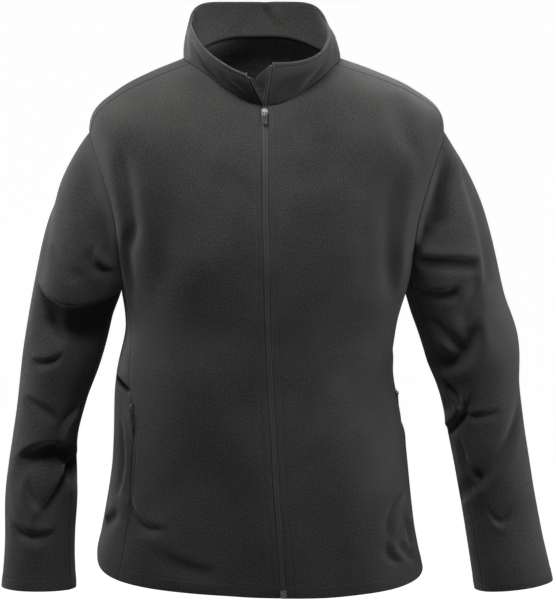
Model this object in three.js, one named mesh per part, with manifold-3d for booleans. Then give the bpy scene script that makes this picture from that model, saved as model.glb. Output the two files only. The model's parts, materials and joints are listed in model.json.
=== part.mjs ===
// A softshell jacket with a stand collar, zipped up to the neck seam and standing open above it.
// It keeps the hollow, filled-out form that it has when worn, with both sleeves hanging.
// Millimetres, +Z up. The front faces -Y and the wearer's left is +X.
// The origin lies between the two high shoulder points, where the wearer's shoulders carry it.
import * as THREE from 'three';
import { mergeVertices } from 'three/addons/utils/BufferGeometryUtils.js';
import Module from 'manifold-3d';

const manifold = await Module();
manifold.setup();

// Driving sizes
const CLOTH = 1.6; // bonded softshell, one layer
const TURNED = 1.0; // what a turned and stitched edge adds to the cloth, half on each face
const LINING = 1.2; // inner collar
const TAPE = 0.8; // woven zip tape
const SEAM_GAP = 0.3;
const LAYER_GAP = 0.5; // between two layers of cloth that lie on each other
const HEM_HEIGHT = 19; // depth of the turned hem and cuffs
const HEM_STEP = 1.2; // height over which the turned edge drops back to one layer
const MITRE_LIMIT = 0.6; // keeps the mitre of a sharp corner from growing long

// Rows of numbers under named columns
function table(columns, ...rows) {
  return rows.map((row) => Object.fromEntries(row.map((value, i) => [columns[i], value])));
}

// Rings round the body from hem to neck. Each has its own height at the side seams, centre front and
// centre back, its half width and its reach to front and back. square is the superellipse exponent,
// sway the sideways shift of the ring, twist its turn in degrees and tip how much lower it hangs on
// the wearer's left than on the right, as the worn cloth hangs. nape is how squarely the ring holds
// its height across the back, and zip how far the zip lies from the ring's front, to the wearer's left.
const bodyRings = table(
  ['at', 'side', 'front', 'back', 'half', 'toFront', 'toBack', 'square', 'sway', 'twist', 'tip',
    'nape', 'zip'],
  ['hem', -709, -717, -724, 230, 142, 134, 3.0, -8.5, 6, 11, 2, 4.3],
  ['over hem', -647, -655, -660, 217.5, 140, 131, 2.8, -8.5, 6, 7, 2, 0.4],
  ['hip', -575, -580, -585, 208, 138, 125, 2.6, -7.5, 6, 3, 2, -4.9],
  ['pocket foot', -505, -511, -514, 200.5, 135, 117, 2.5, -10.5, 6, 0, 2, -5.1],
  ['pocket head', -435, -442, -442, 191, 132, 109, 2.45, -14.5, 6, 0, 2, -4.3],
  ['waist', -368, -377, -371, 187, 130, 107, 2.4, -5, 5, 0, 2, -14.1],
  ['armpit', -303, -318, -304, 199, 134, 117, 2.4, 0, 4, 0, 2, -19.1],
  ['chest', -225, -262, -235, 216, 136, 124, 2.4, 1, 3, 0, 2, -18.9],
  ['upper chest', -148, -208, -166, 234, 131, 124, 2.35, 3, 2, 0, 2, -18.9],
  ['shoulder point', -84, -161, -102, 236, 123, 116, 2.3, 4, 1, 0, 2, -17.1],
  ['mid shoulder', -48, -122, -52, 198, 112, 103, 2.2, 2, 0, 0, 2, -12],
  ['collar foot', -24, -91, -8, 149, 97, 84, 2.1, -1, -1, 0, 3, -6.3],
  ['neck seam', -8, -64, 17, 105, 78, 61, 2.0, -3, -2, 0, 5, -2.3],
);
const HEM = 0;
const NECK = bodyRings.length - 1;

// Armhole outline seen from the side, an ellipse scooped deeper to the front on the wearer's left
const armhole = { y: 4, z: -212, height: 108, toFront: { left: 77, right: 67 }, toBack: 66 };
const YOKE_TURN = 21; // degrees round the armhole from its top, where the shoulder seam meets it
const UNDERARM_TURN = 148; // degrees from the top, where the side panel meets it, front and back
const YOKE_NECK_ANGLE = 72; // where the shoulder seam meets the neck seam, in degrees from centre front
const SIDE_FRONT_ANGLE = 70; // the side panel's front seam, which holds the pocket
const SIDE_BACK_ANGLE = 112;
const LEAN_FROM = 3; // the ring above which both side seams lean towards the armpit
// Rows that the back's cells from the armpits and from the shoulder seams reach at its middle
const BACK_LEVELS = { armpit: 6, yoke: 11 };

// Front zip: each half has a tape behind the cloth and a flat chain that fills the opening
const ZIP_OPENING = 5; // half the gap between the two front edges
const zip = { centre: 0.2, chain: 4.3, step: 4.7, tape: 10, sunk: 0.6 };
// Wind guard behind the zip, reaching to both sides of it. chin is how far its angled top stands past
// the zip's centre at each row of the collar.
const guard = { toLeft: 8, toRight: 7, wall: 1.1, chin: [9, 8, 12, 15, 6, -1] };

// Pocket zips in the side panel's front seam
const pocket = { bottom: -606, top: -447, halfOpening: 3.2, end: 4, chain: 2.3, step: 2.6, tape: 9 };

// Zip sliders, along the zip from their hinge pin. The tab's crossbar turns under the bridge.
const slider = {
  halfWidth: 4, nose: 6.5, tail: 6.5, bottom: -0.1, top: 2.4, edge: 0.5,
  bridge: { half: 0.8, foot: 3.4, leg: 1, shoulder: 4, crown: 5.2, under: 4.2 },
};
const tab = { pin: 3.3, thick: 1.0, inside: 2.0, outside: 3.2, opening: 4.2, corner: 1.4 };
const tabLength = { front: 18, pocket: 27 };
const pocketSlider = [0.6, 0.85]; // its width and length as shares of the front slider's
const SLIDER_AT = 0.66; // share of the last row below the neck seam at which the front slider stands
const POCKET_SLIDER_ROW = 2; // rows down from the pocket's top
const zipBox = { halfWidth: 4, from: 2, to: 12, top: 2 };

// Number of grid cells along each seam, shared by the pieces on both sides of it
const CELLS = {
  underPocket: 3, pocket: 8, overPocket: 5, sideBack: 18, sidePanel: 4, across: 6,
  armholeFront: 9, armholeUnder: 4, armholeBack: 10, sleeveUnderBack: 6, sleeve: 24,
  centreFront: 22, neckFront: 5, neckBack: 14,
};

// Sleeve rings from the upper arm to the cuff: centre, half width across and half depth. slope is how
// much higher the outer side of the ring stands than the inner side, which lies under the armpit.
const sleeveColumns = ['at', 'x', 'y', 'z', 'half', 'deep', 'slope'];
const sleeveRings = {
  right: table(
    sleeveColumns,
    ['upper arm', -257, 6, -312, 49, 68, 66],
    ['biceps', -269, 8, -362, 52, 66, 34],
    ['over elbow', -281, 10, -412, 52, 62, 12],
    ['elbow', -294, 8, -466, 47, 58, 0],
    ['under elbow', -306, 0, -525, 44, 54, 0],
    ['forearm', -312, -14, -592, 49, 50, 0],
    ['wrist', -316, -30, -662, 48, 46, 0],
    ['cuff', -319, -44, -726, 51, 44, 0],
  ),
  left: table(
    sleeveColumns,
    ['upper arm', 264, 6, -318, 58, 68, 66],
    ['biceps', 279, 8, -368, 60, 66, 34],
    ['over elbow', 296, 10, -418, 64, 62, 12],
    ['elbow', 307, 8, -476, 57, 58, 0],
    ['under elbow', 318, 0, -542, 54, 54, 0],
    ['forearm', 329, -14, -612, 53, 50, 0],
    ['wrist', 340, -30, -684, 54, 47, 0],
    ['cuff', 352, -44, -751, 57, 45, -10],
  ),
};
const CAP_SHARE = 0.3; // share of a sleeve's rows that lie in its cap
// How the cap leaves the armhole and arrives at the first ring, at its top, its flanks and underarm
const cap = {
  top: { out: 118, down: 140, arrive: 165 },
  flank: { out: 40, down: 110, arrive: 120 },
  under: { out: 4, down: 24, arrive: 30 },
};

// Collar top edge: an oval whose two front edges stand apart, each with its own reach and height. From
// the sides the rim falls to each front edge and rises to the back. level is how squarely it does so.
const collarTop = {
  half: 92.5, toBack: 60, centre: -7, side: 36, back: 66, square: 3, level: 15,
  left: { front: -8, toFront: 88, edge: 7, level: 4 },
  right: { front: -27, toFront: 98, edge: -15.5, level: 1.9 },
};
const collarRows = [0, 0.2, 0.42, 0.65, 0.9, 1];
const COLLAR_BELLY = 3; // how far the collar swells outwards half way up
const NECK_TAPE = 5.5; // width of the tape over the back neck seam

// Folds in surface distances: across is the arc from centre front or from the sleeve's outer line,
// along is the height on the body and the distance down the arm on a sleeve. lift is the ridge on
// one side of the fold line, dip the trough on the other, and bow bends the line sideways.
const bodyFolds = [
  { at: 'chest drape right', across: [-205, -196], along: [-130, -345], width: 24, lift: 3, dip: 6, bow: 8 },
  { at: 'chest drape left', across: [212, 196], along: [-130, -360], width: -24, lift: 3, dip: 6, bow: 8 },
  { at: 'pocket drag right', across: [-208, -150], along: [-600, -640], width: 24, lift: 2, dip: 4, bow: 4 },
  { at: 'hip side right', across: [-268, -256], along: [-440, -590], width: 26, lift: 4, dip: 4, bow: 6 },
  { at: 'hip side left', across: [266, 252], along: [-470, -640], width: -26, lift: 4, dip: 5, bow: 6 },
  { at: 'back waist right', across: [-480, -350], along: [-425, -385], width: 34, lift: 4, dip: 5, bow: 10 },
  { at: 'back waist left', across: [480, 350], along: [-405, -370], width: 34, lift: 4, dip: 5, bow: 10 },
];
const BODY_ARC = 165; // mean radius that turns an angle into distance across
const sleeveFolds = {
  right: [
    { at: 'armpit overhang', across: [20, 185], along: [196, 214], width: 30, lift: 6, dip: 12, bow: 16 },
    { at: 'elbow upper', across: [90, 215], along: [315, 352], width: 26, lift: 4, dip: 7, bow: -14 },
    { at: 'elbow crease', across: [45, 175], along: [392, 366], width: 28, lift: 6, dip: 10, bow: 10 },
    { at: 'forearm', across: [60, 150], along: [480, 465], width: 26, lift: 3, dip: 4, bow: -8 },
    { at: 'elbow back', across: [-150, -60], along: [330, 385], width: 28, lift: 4, dip: 5, bow: 8 },
  ],
  left: [
    { at: 'armpit drag', across: [60, 190], along: [128, 150], width: 24, lift: 4, dip: 7, bow: -4 },
    { at: 'outer drape', across: [14, 34], along: [40, 260], width: -22, lift: 2, dip: 6, bow: -14 },
    { at: 'elbow sweep', across: [28, 150], along: [262, 330], width: 28, lift: 5, dip: 9, bow: 22 },
    { at: 'elbow crease', across: [95, 200], along: [392, 350], width: 26, lift: 4, dip: 7, bow: 10 },
    { at: 'forearm', across: [75, 185], along: [480, 468], width: 26, lift: 3, dip: 5, bow: 12 },
    { at: 'elbow back', across: [-150, -60], along: [330, 395], width: 28, lift: 4, dip: 5, bow: 8 },
  ],
};
const SLEEVE_ARC = 62;
const FOLD_START = 0.06; // share of a sleeve over which its folds grow from the armhole seam

// Colours, linear-light greys taken by eye
const CLOTH_COLOUR = new THREE.MeshStandardMaterial({ color: 0x3a3a38, roughness: 0.85, metalness: 0 });
const INNER_COLOUR = new THREE.MeshStandardMaterial({ color: 0x2c2c2b, roughness: 0.95, metalness: 0 });
const TAPE_COLOUR = new THREE.MeshStandardMaterial({ color: 0x232322, roughness: 0.9, metalness: 0 });
const CHAIN_COLOUR = new THREE.MeshStandardMaterial({ color: 0x5a5a57, roughness: 0.5, metalness: 0 });
const METAL_COLOUR = new THREE.MeshStandardMaterial({ color: 0x8a8a88, roughness: 0.3, metalness: 0.9 });
const PULL_COLOUR = new THREE.MeshStandardMaterial({ color: 0x3d3d3c, roughness: 0.6, metalness: 0 });

const radians = THREE.MathUtils.degToRad;
const lerp = THREE.MathUtils.lerp;
const clamp = THREE.MathUtils.clamp;
const vector = (x, y, z) => new THREE.Vector3(x, y, z);

// A smooth curve through evenly numbered values, read between them
function through(values, t) {
  const last = values.length - 1;
  const i = clamp(Math.floor(t), 0, last - 1);
  const f = t - i;
  const [a, b, c, d] = [i - 1, i, i + 1, i + 2].map((k) => {
    if (k < 0) return 2 * values[0] - values[1];
    if (k > last) return 2 * values[last] - values[last - 1];
    return values[k];
  });
  return b + 0.5 * f * (c - a + f * (2 * a - 5 * b + 4 * c - d + f * (3 * (b - c) + d - a)));
}

// Reads every numeric column of a table of rings at one place between its rows
function readRings(rings, t) {
  const ring = {};
  for (const column of Object.keys(rings[0])) {
    if (column !== 'at') ring[column] = through(rings.map((row) => row[column]), t);
  }
  return ring;
}

// Section across a fold in shares of its width: a ridge beside the fold line and a trough past it.
// fade is the share of its half length over which a fold holds its depth, and falls how fast it ends.
const foldSection = {
  ridge: { at: -0.7, spread: 0.75 }, trough: { at: 0.5, spread: 0.6 }, fade: 0.52, falls: 6,
};

// Height of the folds above the plain surface at one place on it
function foldRelief(folds, across, along) {
  let height = 0;
  for (const fold of folds) {
    const dx = fold.across[1] - fold.across[0];
    const dy = fold.along[1] - fold.along[0];
    const length = Math.hypot(dx, dy);
    const px = across - fold.across[0];
    const py = along - fold.along[0];
    const t = (px * dx + py * dy) / (length * length);
    const bend = fold.bow * 4 * t * (1 - t);
    const q = ((px * dy - py * dx) / length - bend) / fold.width;
    const fade = Math.exp(-Math.pow(Math.abs(t - 0.5) / foldSection.fade, foldSection.falls));
    const bell = ({ at, spread }) => Math.exp(-Math.pow((q - at) / spread, 2));
    height += fade * (fold.lift * bell(foldSection.ridge) - fold.dip * bell(foldSection.trough));
  }
  return height;
}

// Point at a true polar angle on a superellipse with its own reach to front and back
function onOval(angle, half, toFront, toBack, square) {
  const c = Math.cos(angle);
  const s = Math.sin(angle);
  const reach = c > 0 ? toFront : toBack;
  const sum = Math.pow(Math.abs(s) / half, square) + Math.pow(Math.abs(c) / reach, square);
  const size = Math.pow(sum, -1 / square);
  return [size * s, -size * c];
}

// The body without its folds. Angle runs from centre front towards the wearer's left.
function plainBody(angle, level) {
  const ring = readRings(bodyRings, level);
  const turned = angle + radians(ring.twist);
  const [x, y] = onOval(turned, ring.half, ring.toFront, ring.toBack, ring.square);
  const c = Math.cos(turned);
  const s = Math.sin(turned);
  const rise = c > 0 ? c * c * (ring.front - ring.side)
    : (1 - Math.abs(s) ** ring.nape) * (ring.back - ring.side);
  return vector(x + ring.sway, y, ring.side + rise - ring.tip * s);
}

// Steps in angle and in level, height or length at which a surface is sampled for its normal
const STEP = { body: [0.02, 0.05], sleeve: [0.05, 0.01], collar: [0.02, 0.02] };

// Outward normal of any surface given by two parameters
function normalOf(surface, u, v, [du, dv]) {
  const along = surface(u + du, v).sub(surface(u - du, v));
  const up = surface(u, v + dv).sub(surface(u, v - dv));
  return along.cross(up).normalize();
}

function wrapped(angle) {
  return Math.atan2(Math.sin(angle), Math.cos(angle));
}

function bodyPoint(angle, level) {
  const point = plainBody(angle, level);
  const relief = foldRelief(bodyFolds, wrapped(angle) * BODY_ARC, point.z);
  return point.addScaledVector(normalOf(plainBody, angle, level, STEP.body), relief);
}

const bodyNormal = (angle, level) => normalOf(bodyPoint, angle, level, STEP.body);

// The place on the body, as an angle and a level, that has a given y and z near a first guess
function placeOnBody(y, z, guess) {
  const search = { steps: 14, delta: 0.01, mostAngle: 0.2, mostLevel: 0.8 };
  let { angle, level } = guess;
  for (let step = 0; step < search.steps; step += 1) {
    const here = plainBody(angle, level);
    const da = plainBody(angle + search.delta, level).sub(here).divideScalar(search.delta);
    const dl = plainBody(angle, level + search.delta).sub(here).divideScalar(search.delta);
    const det = da.y * dl.z - dl.y * da.z;
    const ry = y - here.y;
    const rz = z - here.z;
    angle += clamp((ry * dl.z - rz * dl.y) / det, -search.mostAngle, search.mostAngle);
    level += clamp((da.y * rz - da.z * ry) / det, -search.mostLevel, search.mostLevel);
  }
  return { angle, level };
}

// Where the armhole lies on the body, roughly: its middle level, and how far it swings in level and angle
const aboutArmhole = { level: 7.5, levelSwing: 1.5, angleSwing: 0.35 };

// Armhole of one side (+1 is the wearer's left): place on the body for a turn in degrees, 0 at the top
function armholePlace(side, turn) {
  const t = radians(turn);
  const toFront = side > 0 ? armhole.toFront.left : armhole.toFront.right;
  const reach = Math.sin(t) > 0 ? toFront : armhole.toBack;
  const y = armhole.y - reach * Math.sin(t);
  const z = armhole.z + armhole.height * Math.cos(t);
  return placeOnBody(y, z, {
    angle: side * (Math.PI / 2 - aboutArmhole.angleSwing * Math.sin(t)),
    level: aboutArmhole.level + aboutArmhole.levelSwing * Math.cos(t),
  });
}

// Places evenly spaced along a line drawn on the body, which is measured in fine steps
function evenly(line, count) {
  const fine = 160;
  const places = Array.from({ length: fine + 1 }, (_, i) => line(i / fine));
  const points = places.map((p) => bodyPoint(p.angle, p.level));
  const run = [0];
  for (let i = 1; i <= fine; i += 1) run.push(run[i - 1] + points[i].distanceTo(points[i - 1]));
  return Array.from({ length: count + 1 }, (_, k) => {
    const want = (run[fine] * k) / count;
    let i = 0;
    while (i < fine - 1 && run[i + 1] < want) i += 1;
    return line((i + (want - run[i]) / (run[i + 1] - run[i])) / fine);
  });
}

const straight = (a, b) => (t) => ({ angle: lerp(a.angle, b.angle, t), level: lerp(a.level, b.level, t) });
const reversed = (list) => [...list].reverse();
const joined = (...lists) => lists.reduce((all, list) => [...all, ...list.slice(all.length ? 1 : 0)], []);

// Level on the body at a height above the hem or at a height z, near its side
const levelOverHem = (height) => height / (bodyRings[1].side - bodyRings[0].side);
const hemLevels = [HEM, levelOverHem(HEM_HEIGHT), levelOverHem(HEM_HEIGHT + HEM_STEP)];
const HEM_ROWS = hemLevels.length - 1;

function levelAtHeight(z, angleAt) {
  const halvings = 40;
  let [low, high] = [HEM, NECK];
  for (let step = 0; step < halvings; step += 1) {
    const level = (low + high) / 2;
    if (plainBody(angleAt(level), level).z < z) low = level;
    else high = level;
  }
  return low;
}

// Angle at a distance from the zip's middle, at one level
function angleFromZip(distance, level) {
  const ring = readRings(bodyRings, level);
  return Math.asin((ring.zip + distance) / ring.toFront);
}

// A seam that starts with the two rows of the turned hem and then runs evenly from stop to stop
function fromHem(angleAt, stops) {
  const seam = [hemLevels.map((level) => ({ angle: angleAt(level), level }))];
  let from = hemLevels[HEM_ROWS];
  for (const { to, count } of stops) {
    const start = from;
    seam.push(evenly((t) => {
      const level = lerp(start, to, t);
      return { angle: angleAt(level), level };
    }, count));
    from = to;
  }
  return joined(...seam);
}

// All seams of one side of the body
function seamsOf(side) {
  const turns = (from, to, count) => evenly((t) => armholePlace(side, lerp(from, to, t)), count);
  const armholeFront = turns(UNDERARM_TURN, YOKE_TURN, CELLS.armholeFront);
  const armholeUnder = turns(UNDERARM_TURN, 360 - UNDERARM_TURN, CELLS.armholeUnder);
  const armholeBack = turns(360 - UNDERARM_TURN, 360 + YOKE_TURN, CELLS.armholeBack);
  const frontTop = armholeFront[0];
  const backTop = armholeBack[0];
  const lean = (base, top) => (level) => {
    const t = clamp((level - LEAN_FROM) / (top.level - LEAN_FROM), 0, 1);
    return lerp(side * radians(base), top.angle, t * t * (3 - 2 * t));
  };
  const pocketAngle = lean(SIDE_FRONT_ANGLE, frontTop);
  const at = (z) => levelAtHeight(z, pocketAngle);
  const sideFront = fromHem(pocketAngle, [
    { to: at(pocket.bottom), count: CELLS.underPocket },
    { to: at(pocket.bottom + pocket.end), count: 1 },
    { to: at(pocket.top - pocket.end), count: CELLS.pocket - 2 },
    { to: at(pocket.top), count: 1 },
    { to: frontTop.level, count: CELLS.overPocket },
  ]);
  const backAngle = lean(SIDE_BACK_ANGLE, backTop);
  const sideBack = fromHem(backAngle, [{ to: backTop.level, count: CELLS.sideBack - HEM_ROWS }]);
  const edge = (level) => angleFromZip(side * ZIP_OPENING, level);
  const centreFront = fromHem(edge, [{ to: NECK, count: CELLS.centreFront - HEM_ROWS }]);
  const yokeNeck = { angle: side * radians(YOKE_NECK_ANGLE), level: NECK };
  const neckFront = evenly(straight({ angle: edge(NECK), level: NECK }, yokeNeck), CELLS.neckFront);
  const yoke = evenly(straight(yokeNeck, armholeFront[CELLS.armholeFront]), CELLS.across);
  return { armholeFront, armholeUnder, armholeBack, sideFront, sideBack, centreFront, neckFront, yoke };
}

const seams = { left: seamsOf(1), right: seamsOf(-1) };

// Rows of the side seam that the pocket opens
const POCKET_START = HEM_ROWS + CELLS.underPocket;
const POCKET_END = POCKET_START + CELLS.pocket;

// Moves the places of a seam apart where the pocket zip opens it, towards the front or the side panel
function openedForPocket(seam, direction) {
  return seam.map((place, row) => {
    const open = row > POCKET_START && row < POCKET_END ? pocket.halfOpening : 0;
    const turn = (direction * open) / readRings(bodyRings, place.level).half;
    return { angle: place.angle + turn, level: place.level };
  });
}

// A grid of places between four edges (a Coons patch), carried onto the body. Where levels down its
// middle are given, the rows ease from both sides into those.
function bodyPatch(bottom, top, start, end, middle) {
  const columns = bottom.length - 1;
  const rows = start.length - 1;
  const pull = (s) => Math.max(0, 1 - 2 * s) ** 2;
  return start.map((_, r) => bottom.map((__, c) => {
    const s = c / columns;
    const t = r / rows;
    const mix = (key) => lerp(start[r][key], end[r][key], s) + lerp(bottom[c][key], top[c][key], t)
      - lerp(lerp(bottom[0][key], bottom[columns][key], s), lerp(top[0][key], top[columns][key], s), t);
    const eased = (m) => m + (start[r].level - m) * pull(s) + (end[r].level - m) * pull(1 - s);
    const angle = mix('angle');
    const level = middle ? eased(middle[r]) : mix('level');
    return { point: bodyPoint(angle, level), normal: bodyNormal(angle, level) };
  }));
}

const SAME_POINT = 0.05; // grid points nearer than this are one point of a seam

// Averages the normals where grids meet, so that neighbouring walls are mitred together. The body's
// panels count as one surface, each sleeve and the collar as others.
function shareNormals(grids) {
  const meeting = new Map();
  const key = (p) => p.toArray().map((v) => Math.round(v / SAME_POINT)).join();
  const surfaceOf = (name) => (/^(sleeve|collar)/.exec(name) ?? ['body'])[0];
  for (const [name, grid] of Object.entries(grids)) {
    for (const cell of grid.flat()) {
      const at = key(cell.point);
      if (!meeting.has(at)) meeting.set(at, {});
      const surfaces = meeting.get(at);
      surfaces[surfaceOf(name)] ??= vector(0, 0, 0);
      surfaces[surfaceOf(name)].add(cell.normal);
    }
  }
  for (const cell of Object.values(grids).flat(2)) {
    const normals = Object.values(meeting.get(key(cell.point))).map((n) => n.clone().normalize());
    const mean = normals.reduce((sum, n) => sum.add(n), vector(0, 0, 0)).normalize();
    cell.mitre = mean.clone().divideScalar(Math.max(normals[0].dot(mean), MITRE_LIMIT));
  }
}

// Draws the four edges of a grid in by half the seam gap, square to the mitre that both sides share
function trimmed(grid, gap = SEAM_GAP) {
  const rows = grid.length - 1;
  const columns = grid[0].length - 1;
  const copy = grid.map((row) => row.map((cell) => ({ ...cell, point: cell.point.clone() })));
  const draw = (r, c, dr, dc) => {
    const at = (i, j) => grid[clamp(i, 0, rows)][clamp(j, 0, columns)].point;
    const tangent = at(r + dc, c + dr).clone().sub(at(r - dc, c - dr));
    const away = tangent.cross(grid[r][c].mitre).setLength(gap / 2);
    const into = at(r + dr, c + dc).clone().sub(at(r, c));
    copy[r][c].point.addScaledVector(away, Math.sign(away.dot(into)));
  };
  for (let c = 0; c <= columns; c += 1) {
    draw(0, c, 1, 0);
    draw(rows, c, -1, 0);
  }
  for (let r = 0; r <= rows; r += 1) {
    draw(r, 0, 0, 1);
    draw(r, columns, 0, -1);
  }
  return copy;
}

// A closed wall of cloth between the offsets outer and inner from a grid
function wall(name, material, grid, offsets) {
  const rows = grid.length;
  const columns = grid[0].length;
  const points = ['outer', 'inner'].flatMap((face) => grid.flatMap((row, r) => row.map((cell, c) => (
    cell.point.clone().addScaledVector(cell.mitre, offsets(r, c)[face])))));
  const at = (r, c, inner) => inner * rows * columns + r * columns + c;
  const index = [];
  const quad = (a, b, c, d) => {
    const across = points[a].distanceTo(points[c]) < points[b].distanceTo(points[d]) + SEAM_GAP;
    index.push(...(across ? [a, b, c, a, c, d] : [a, b, d, b, c, d]));
  };
  for (let r = 0; r < rows - 1; r += 1) {
    for (let c = 0; c < columns - 1; c += 1) {
      quad(at(r, c, 0), at(r, c + 1, 0), at(r + 1, c + 1, 0), at(r + 1, c, 0));
      quad(at(r, c, 1), at(r + 1, c, 1), at(r + 1, c + 1, 1), at(r, c + 1, 1));
    }
  }
  for (let c = 0; c < columns - 1; c += 1) {
    quad(at(0, c, 1), at(0, c + 1, 1), at(0, c + 1, 0), at(0, c, 0));
    quad(at(rows - 1, c, 0), at(rows - 1, c + 1, 0), at(rows - 1, c + 1, 1), at(rows - 1, c, 1));
  }
  for (let r = 0; r < rows - 1; r += 1) {
    quad(at(r, 0, 0), at(r + 1, 0, 0), at(r + 1, 0, 1), at(r, 0, 1));
    quad(at(r, columns - 1, 1), at(r + 1, columns - 1, 1), at(r + 1, columns - 1, 0), at(r, columns - 1, 0));
  }
  return solid(name, material, points.flatMap((p) => p.toArray()), index);
}

// A named mesh from points and triangles, turned right side out
function solid(name, material, positions, index) {
  const corner = (i) => vector(...positions.slice(3 * i, 3 * i + 3));
  let volume = 0;
  for (let i = 0; i < index.length; i += 3) {
    const [a, b, c] = [corner(index[i]), corner(index[i + 1]), corner(index[i + 2])];
    volume += a.dot(b.cross(c));
  }
  if (volume < 0) index.reverse();
  const geometry = new THREE.BufferGeometry();
  geometry.setAttribute('position', new THREE.Float32BufferAttribute(positions, 3));
  geometry.setIndex(index);
  geometry.computeVertexNormals();
  const mesh = new THREE.Mesh(geometry, material);
  mesh.name = name;
  return mesh;
}

// Offsets of one layer of cloth, swollen where its edge is turned and stitched
const hemSwell = (row) => (row < HEM_ROWS ? TURNED / 2 : 0);
const turnedHem = (row) => ({ outer: hemSwell(row), inner: -CLOTH - hemSwell(row) });

// Body panels
function frontGrid(side, s) {
  const start = joined(s.centreFront, s.neckFront);
  const end = joined(openedForPocket(s.sideFront, -side), s.armholeFront);
  const bottom = evenly(straight(start[0], end[0]), CELLS.across);
  return bodyPatch(bottom, s.yoke, start, end);
}

function sidePanelGrid(side, s) {
  const start = openedForPocket(s.sideFront, side);
  const bottom = evenly(straight(start[0], s.sideBack[0]), CELLS.sidePanel);
  return bodyPatch(bottom, s.armholeUnder, start, s.sideBack);
}

function pastCentreBack(place) {
  return { angle: place.angle < 0 ? place.angle + 2 * Math.PI : place.angle, level: place.level };
}

function backGrid() {
  const edge = (s) => joined(s.sideBack, s.armholeBack, reversed(s.yoke));
  const start = edge(seams.left);
  const end = edge(seams.right).map(pastCentreBack);
  const bottom = evenly(straight(start[0], end[0]), CELLS.neckBack);
  const top = evenly(straight(start[start.length - 1], end[end.length - 1]), CELLS.neckBack);
  const centreBack = fromHem(() => Math.PI, [
    { to: BACK_LEVELS.armpit, count: CELLS.sideBack - HEM_ROWS },
    { to: BACK_LEVELS.yoke, count: CELLS.armholeBack },
    { to: NECK, count: CELLS.across },
  ]);
  return bodyPatch(bottom, top, start, end, centreBack.map(({ level }) => level));
}

// Sleeves. Around is the turn from the top of the shoulder, over the front, under the arm and up the back.
const ALONG_STEP = 0.05; // rows between the points that give the direction of the arm

function sleeveSurface(side, rings) {
  const centre = (t) => {
    const ring = readRings(rings, t);
    return vector(ring.x, ring.y, ring.z);
  };
  const across = (axis, down) => axis.clone().addScaledVector(down, -axis.dot(down)).normalize();
  return (around, t) => {
    const down = centre(t + ALONG_STEP).sub(centre(t - ALONG_STEP)).normalize();
    const outward = across(vector(side, 0, 0), down);
    const forward = across(vector(0, -1, 0), down);
    const { half, deep, slope } = readRings(rings, t);
    const point = centre(t).addScaledVector(outward, half * Math.cos(around));
    point.addScaledVector(forward, deep * Math.sin(around));
    point.z += 0.5 * slope * Math.cos(around);
    return point;
  };
}

// The sleeve's cap leaves the armhole and runs smoothly into the ring at the upper arm
function capPoint(side, ringPoint, seamPoint, around, t) {
  const top = Math.max(0, Math.cos(around)) ** 2;
  const under = Math.max(0, -Math.cos(around)) ** 2;
  const flank = 1 - top - under;
  const mix = (key) => cap.top[key] * top + cap.flank[key] * flank + cap.under[key] * under;
  const end = ringPoint(around, 0);
  const arrive = ringPoint(around, 2 * ALONG_STEP).sub(end).setLength(mix('arrive'));
  const t2 = t * t;
  const t3 = t2 * t;
  return seamPoint.clone().multiplyScalar(2 * t3 - 3 * t2 + 1)
    .addScaledVector(vector(side * mix('out'), 0, -mix('down')), t3 - 2 * t2 + t)
    .addScaledVector(end, 3 * t2 - 2 * t3)
    .addScaledVector(arrive, t3 - t2);
}

function sleevePoint(side, ringPoint, last, folds, seamAt, around, t) {
  const plain = (a, u) => {
    if (u < CAP_SHARE) return capPoint(side, ringPoint, seamAt(a), a, u / CAP_SHARE);
    return ringPoint(a, (last * (u - CAP_SHARE)) / (1 - CAP_SHARE));
  };
  const point = plain(around, t);
  const along = armhole.z + armhole.height - point.z;
  const relief = foldRelief(folds, wrapped(around) * SLEEVE_ARC, along) * clamp(t / FOLD_START, 0, 1);
  const [, end] = STEP.sleeve;
  const normal = normalOf(plain, around, clamp(t, end, 1 - end), STEP.sleeve).multiplyScalar(side);
  return { point: point.addScaledVector(normal, relief), normal };
}

function evenTurns(from, to, count) {
  return Array.from({ length: count + 1 }, (_, i) => radians(lerp(from, to, i / count)));
}

function sleeveGrids(side, key) {
  const s = seams[key];
  const loop = joined(s.armholeUnder, s.armholeBack, reversed(s.armholeFront));
  const turns = joined(
    evenTurns(UNDERARM_TURN, 360 - UNDERARM_TURN, CELLS.armholeUnder),
    evenTurns(360 - UNDERARM_TURN, 360 + YOKE_TURN, CELLS.armholeBack),
    evenTurns(360 + YOKE_TURN, 360 + UNDERARM_TURN, CELLS.armholeFront),
  );
  const points = loop.map((place) => bodyPoint(place.angle, place.level));
  const rings = sleeveRings[key];
  const ringPoint = sleeveSurface(side, rings);
  const full = 2 * Math.PI;
  const seamAt = (around) => {
    const a = turns[0] + ((((around - turns[0]) % full) + full) % full);
    let i = 0;
    while (i < turns.length - 2 && turns[i + 1] < a - Number.EPSILON * full) i += 1;
    return points[i].clone().lerp(points[i + 1], clamp((a - turns[i]) / (turns[i + 1] - turns[i]), 0, 1));
  };
  const centres = rings.map((r) => vector(r.x, r.y, r.z));
  const run = centres.slice(1).reduce((sum, point, i) => sum + point.distanceTo(centres[i]), 0);
  const share = (length) => (1 - CAP_SHARE) * (length / run);
  const cuffStart = 1 - share(HEM_HEIGHT + HEM_STEP);
  const steps = CELLS.sleeve - HEM_ROWS;
  const rows = [...Array(steps + 1).keys()].map((i) => (cuffStart * i) / steps);
  rows.push(1 - share(HEM_HEIGHT), 1);
  const last = rings.length - 1;
  const at = (around, t) => sleevePoint(side, ringPoint, last, sleeveFolds[key], seamAt, around, t);
  const grid = rows.map((t) => turns.map((around) => at(around, t)));
  const split = CELLS.armholeUnder + CELLS.sleeveUnderBack;
  return { under: grid.map((row) => row.slice(0, split + 1)), top: grid.map((row) => row.slice(split)) };
}

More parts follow.
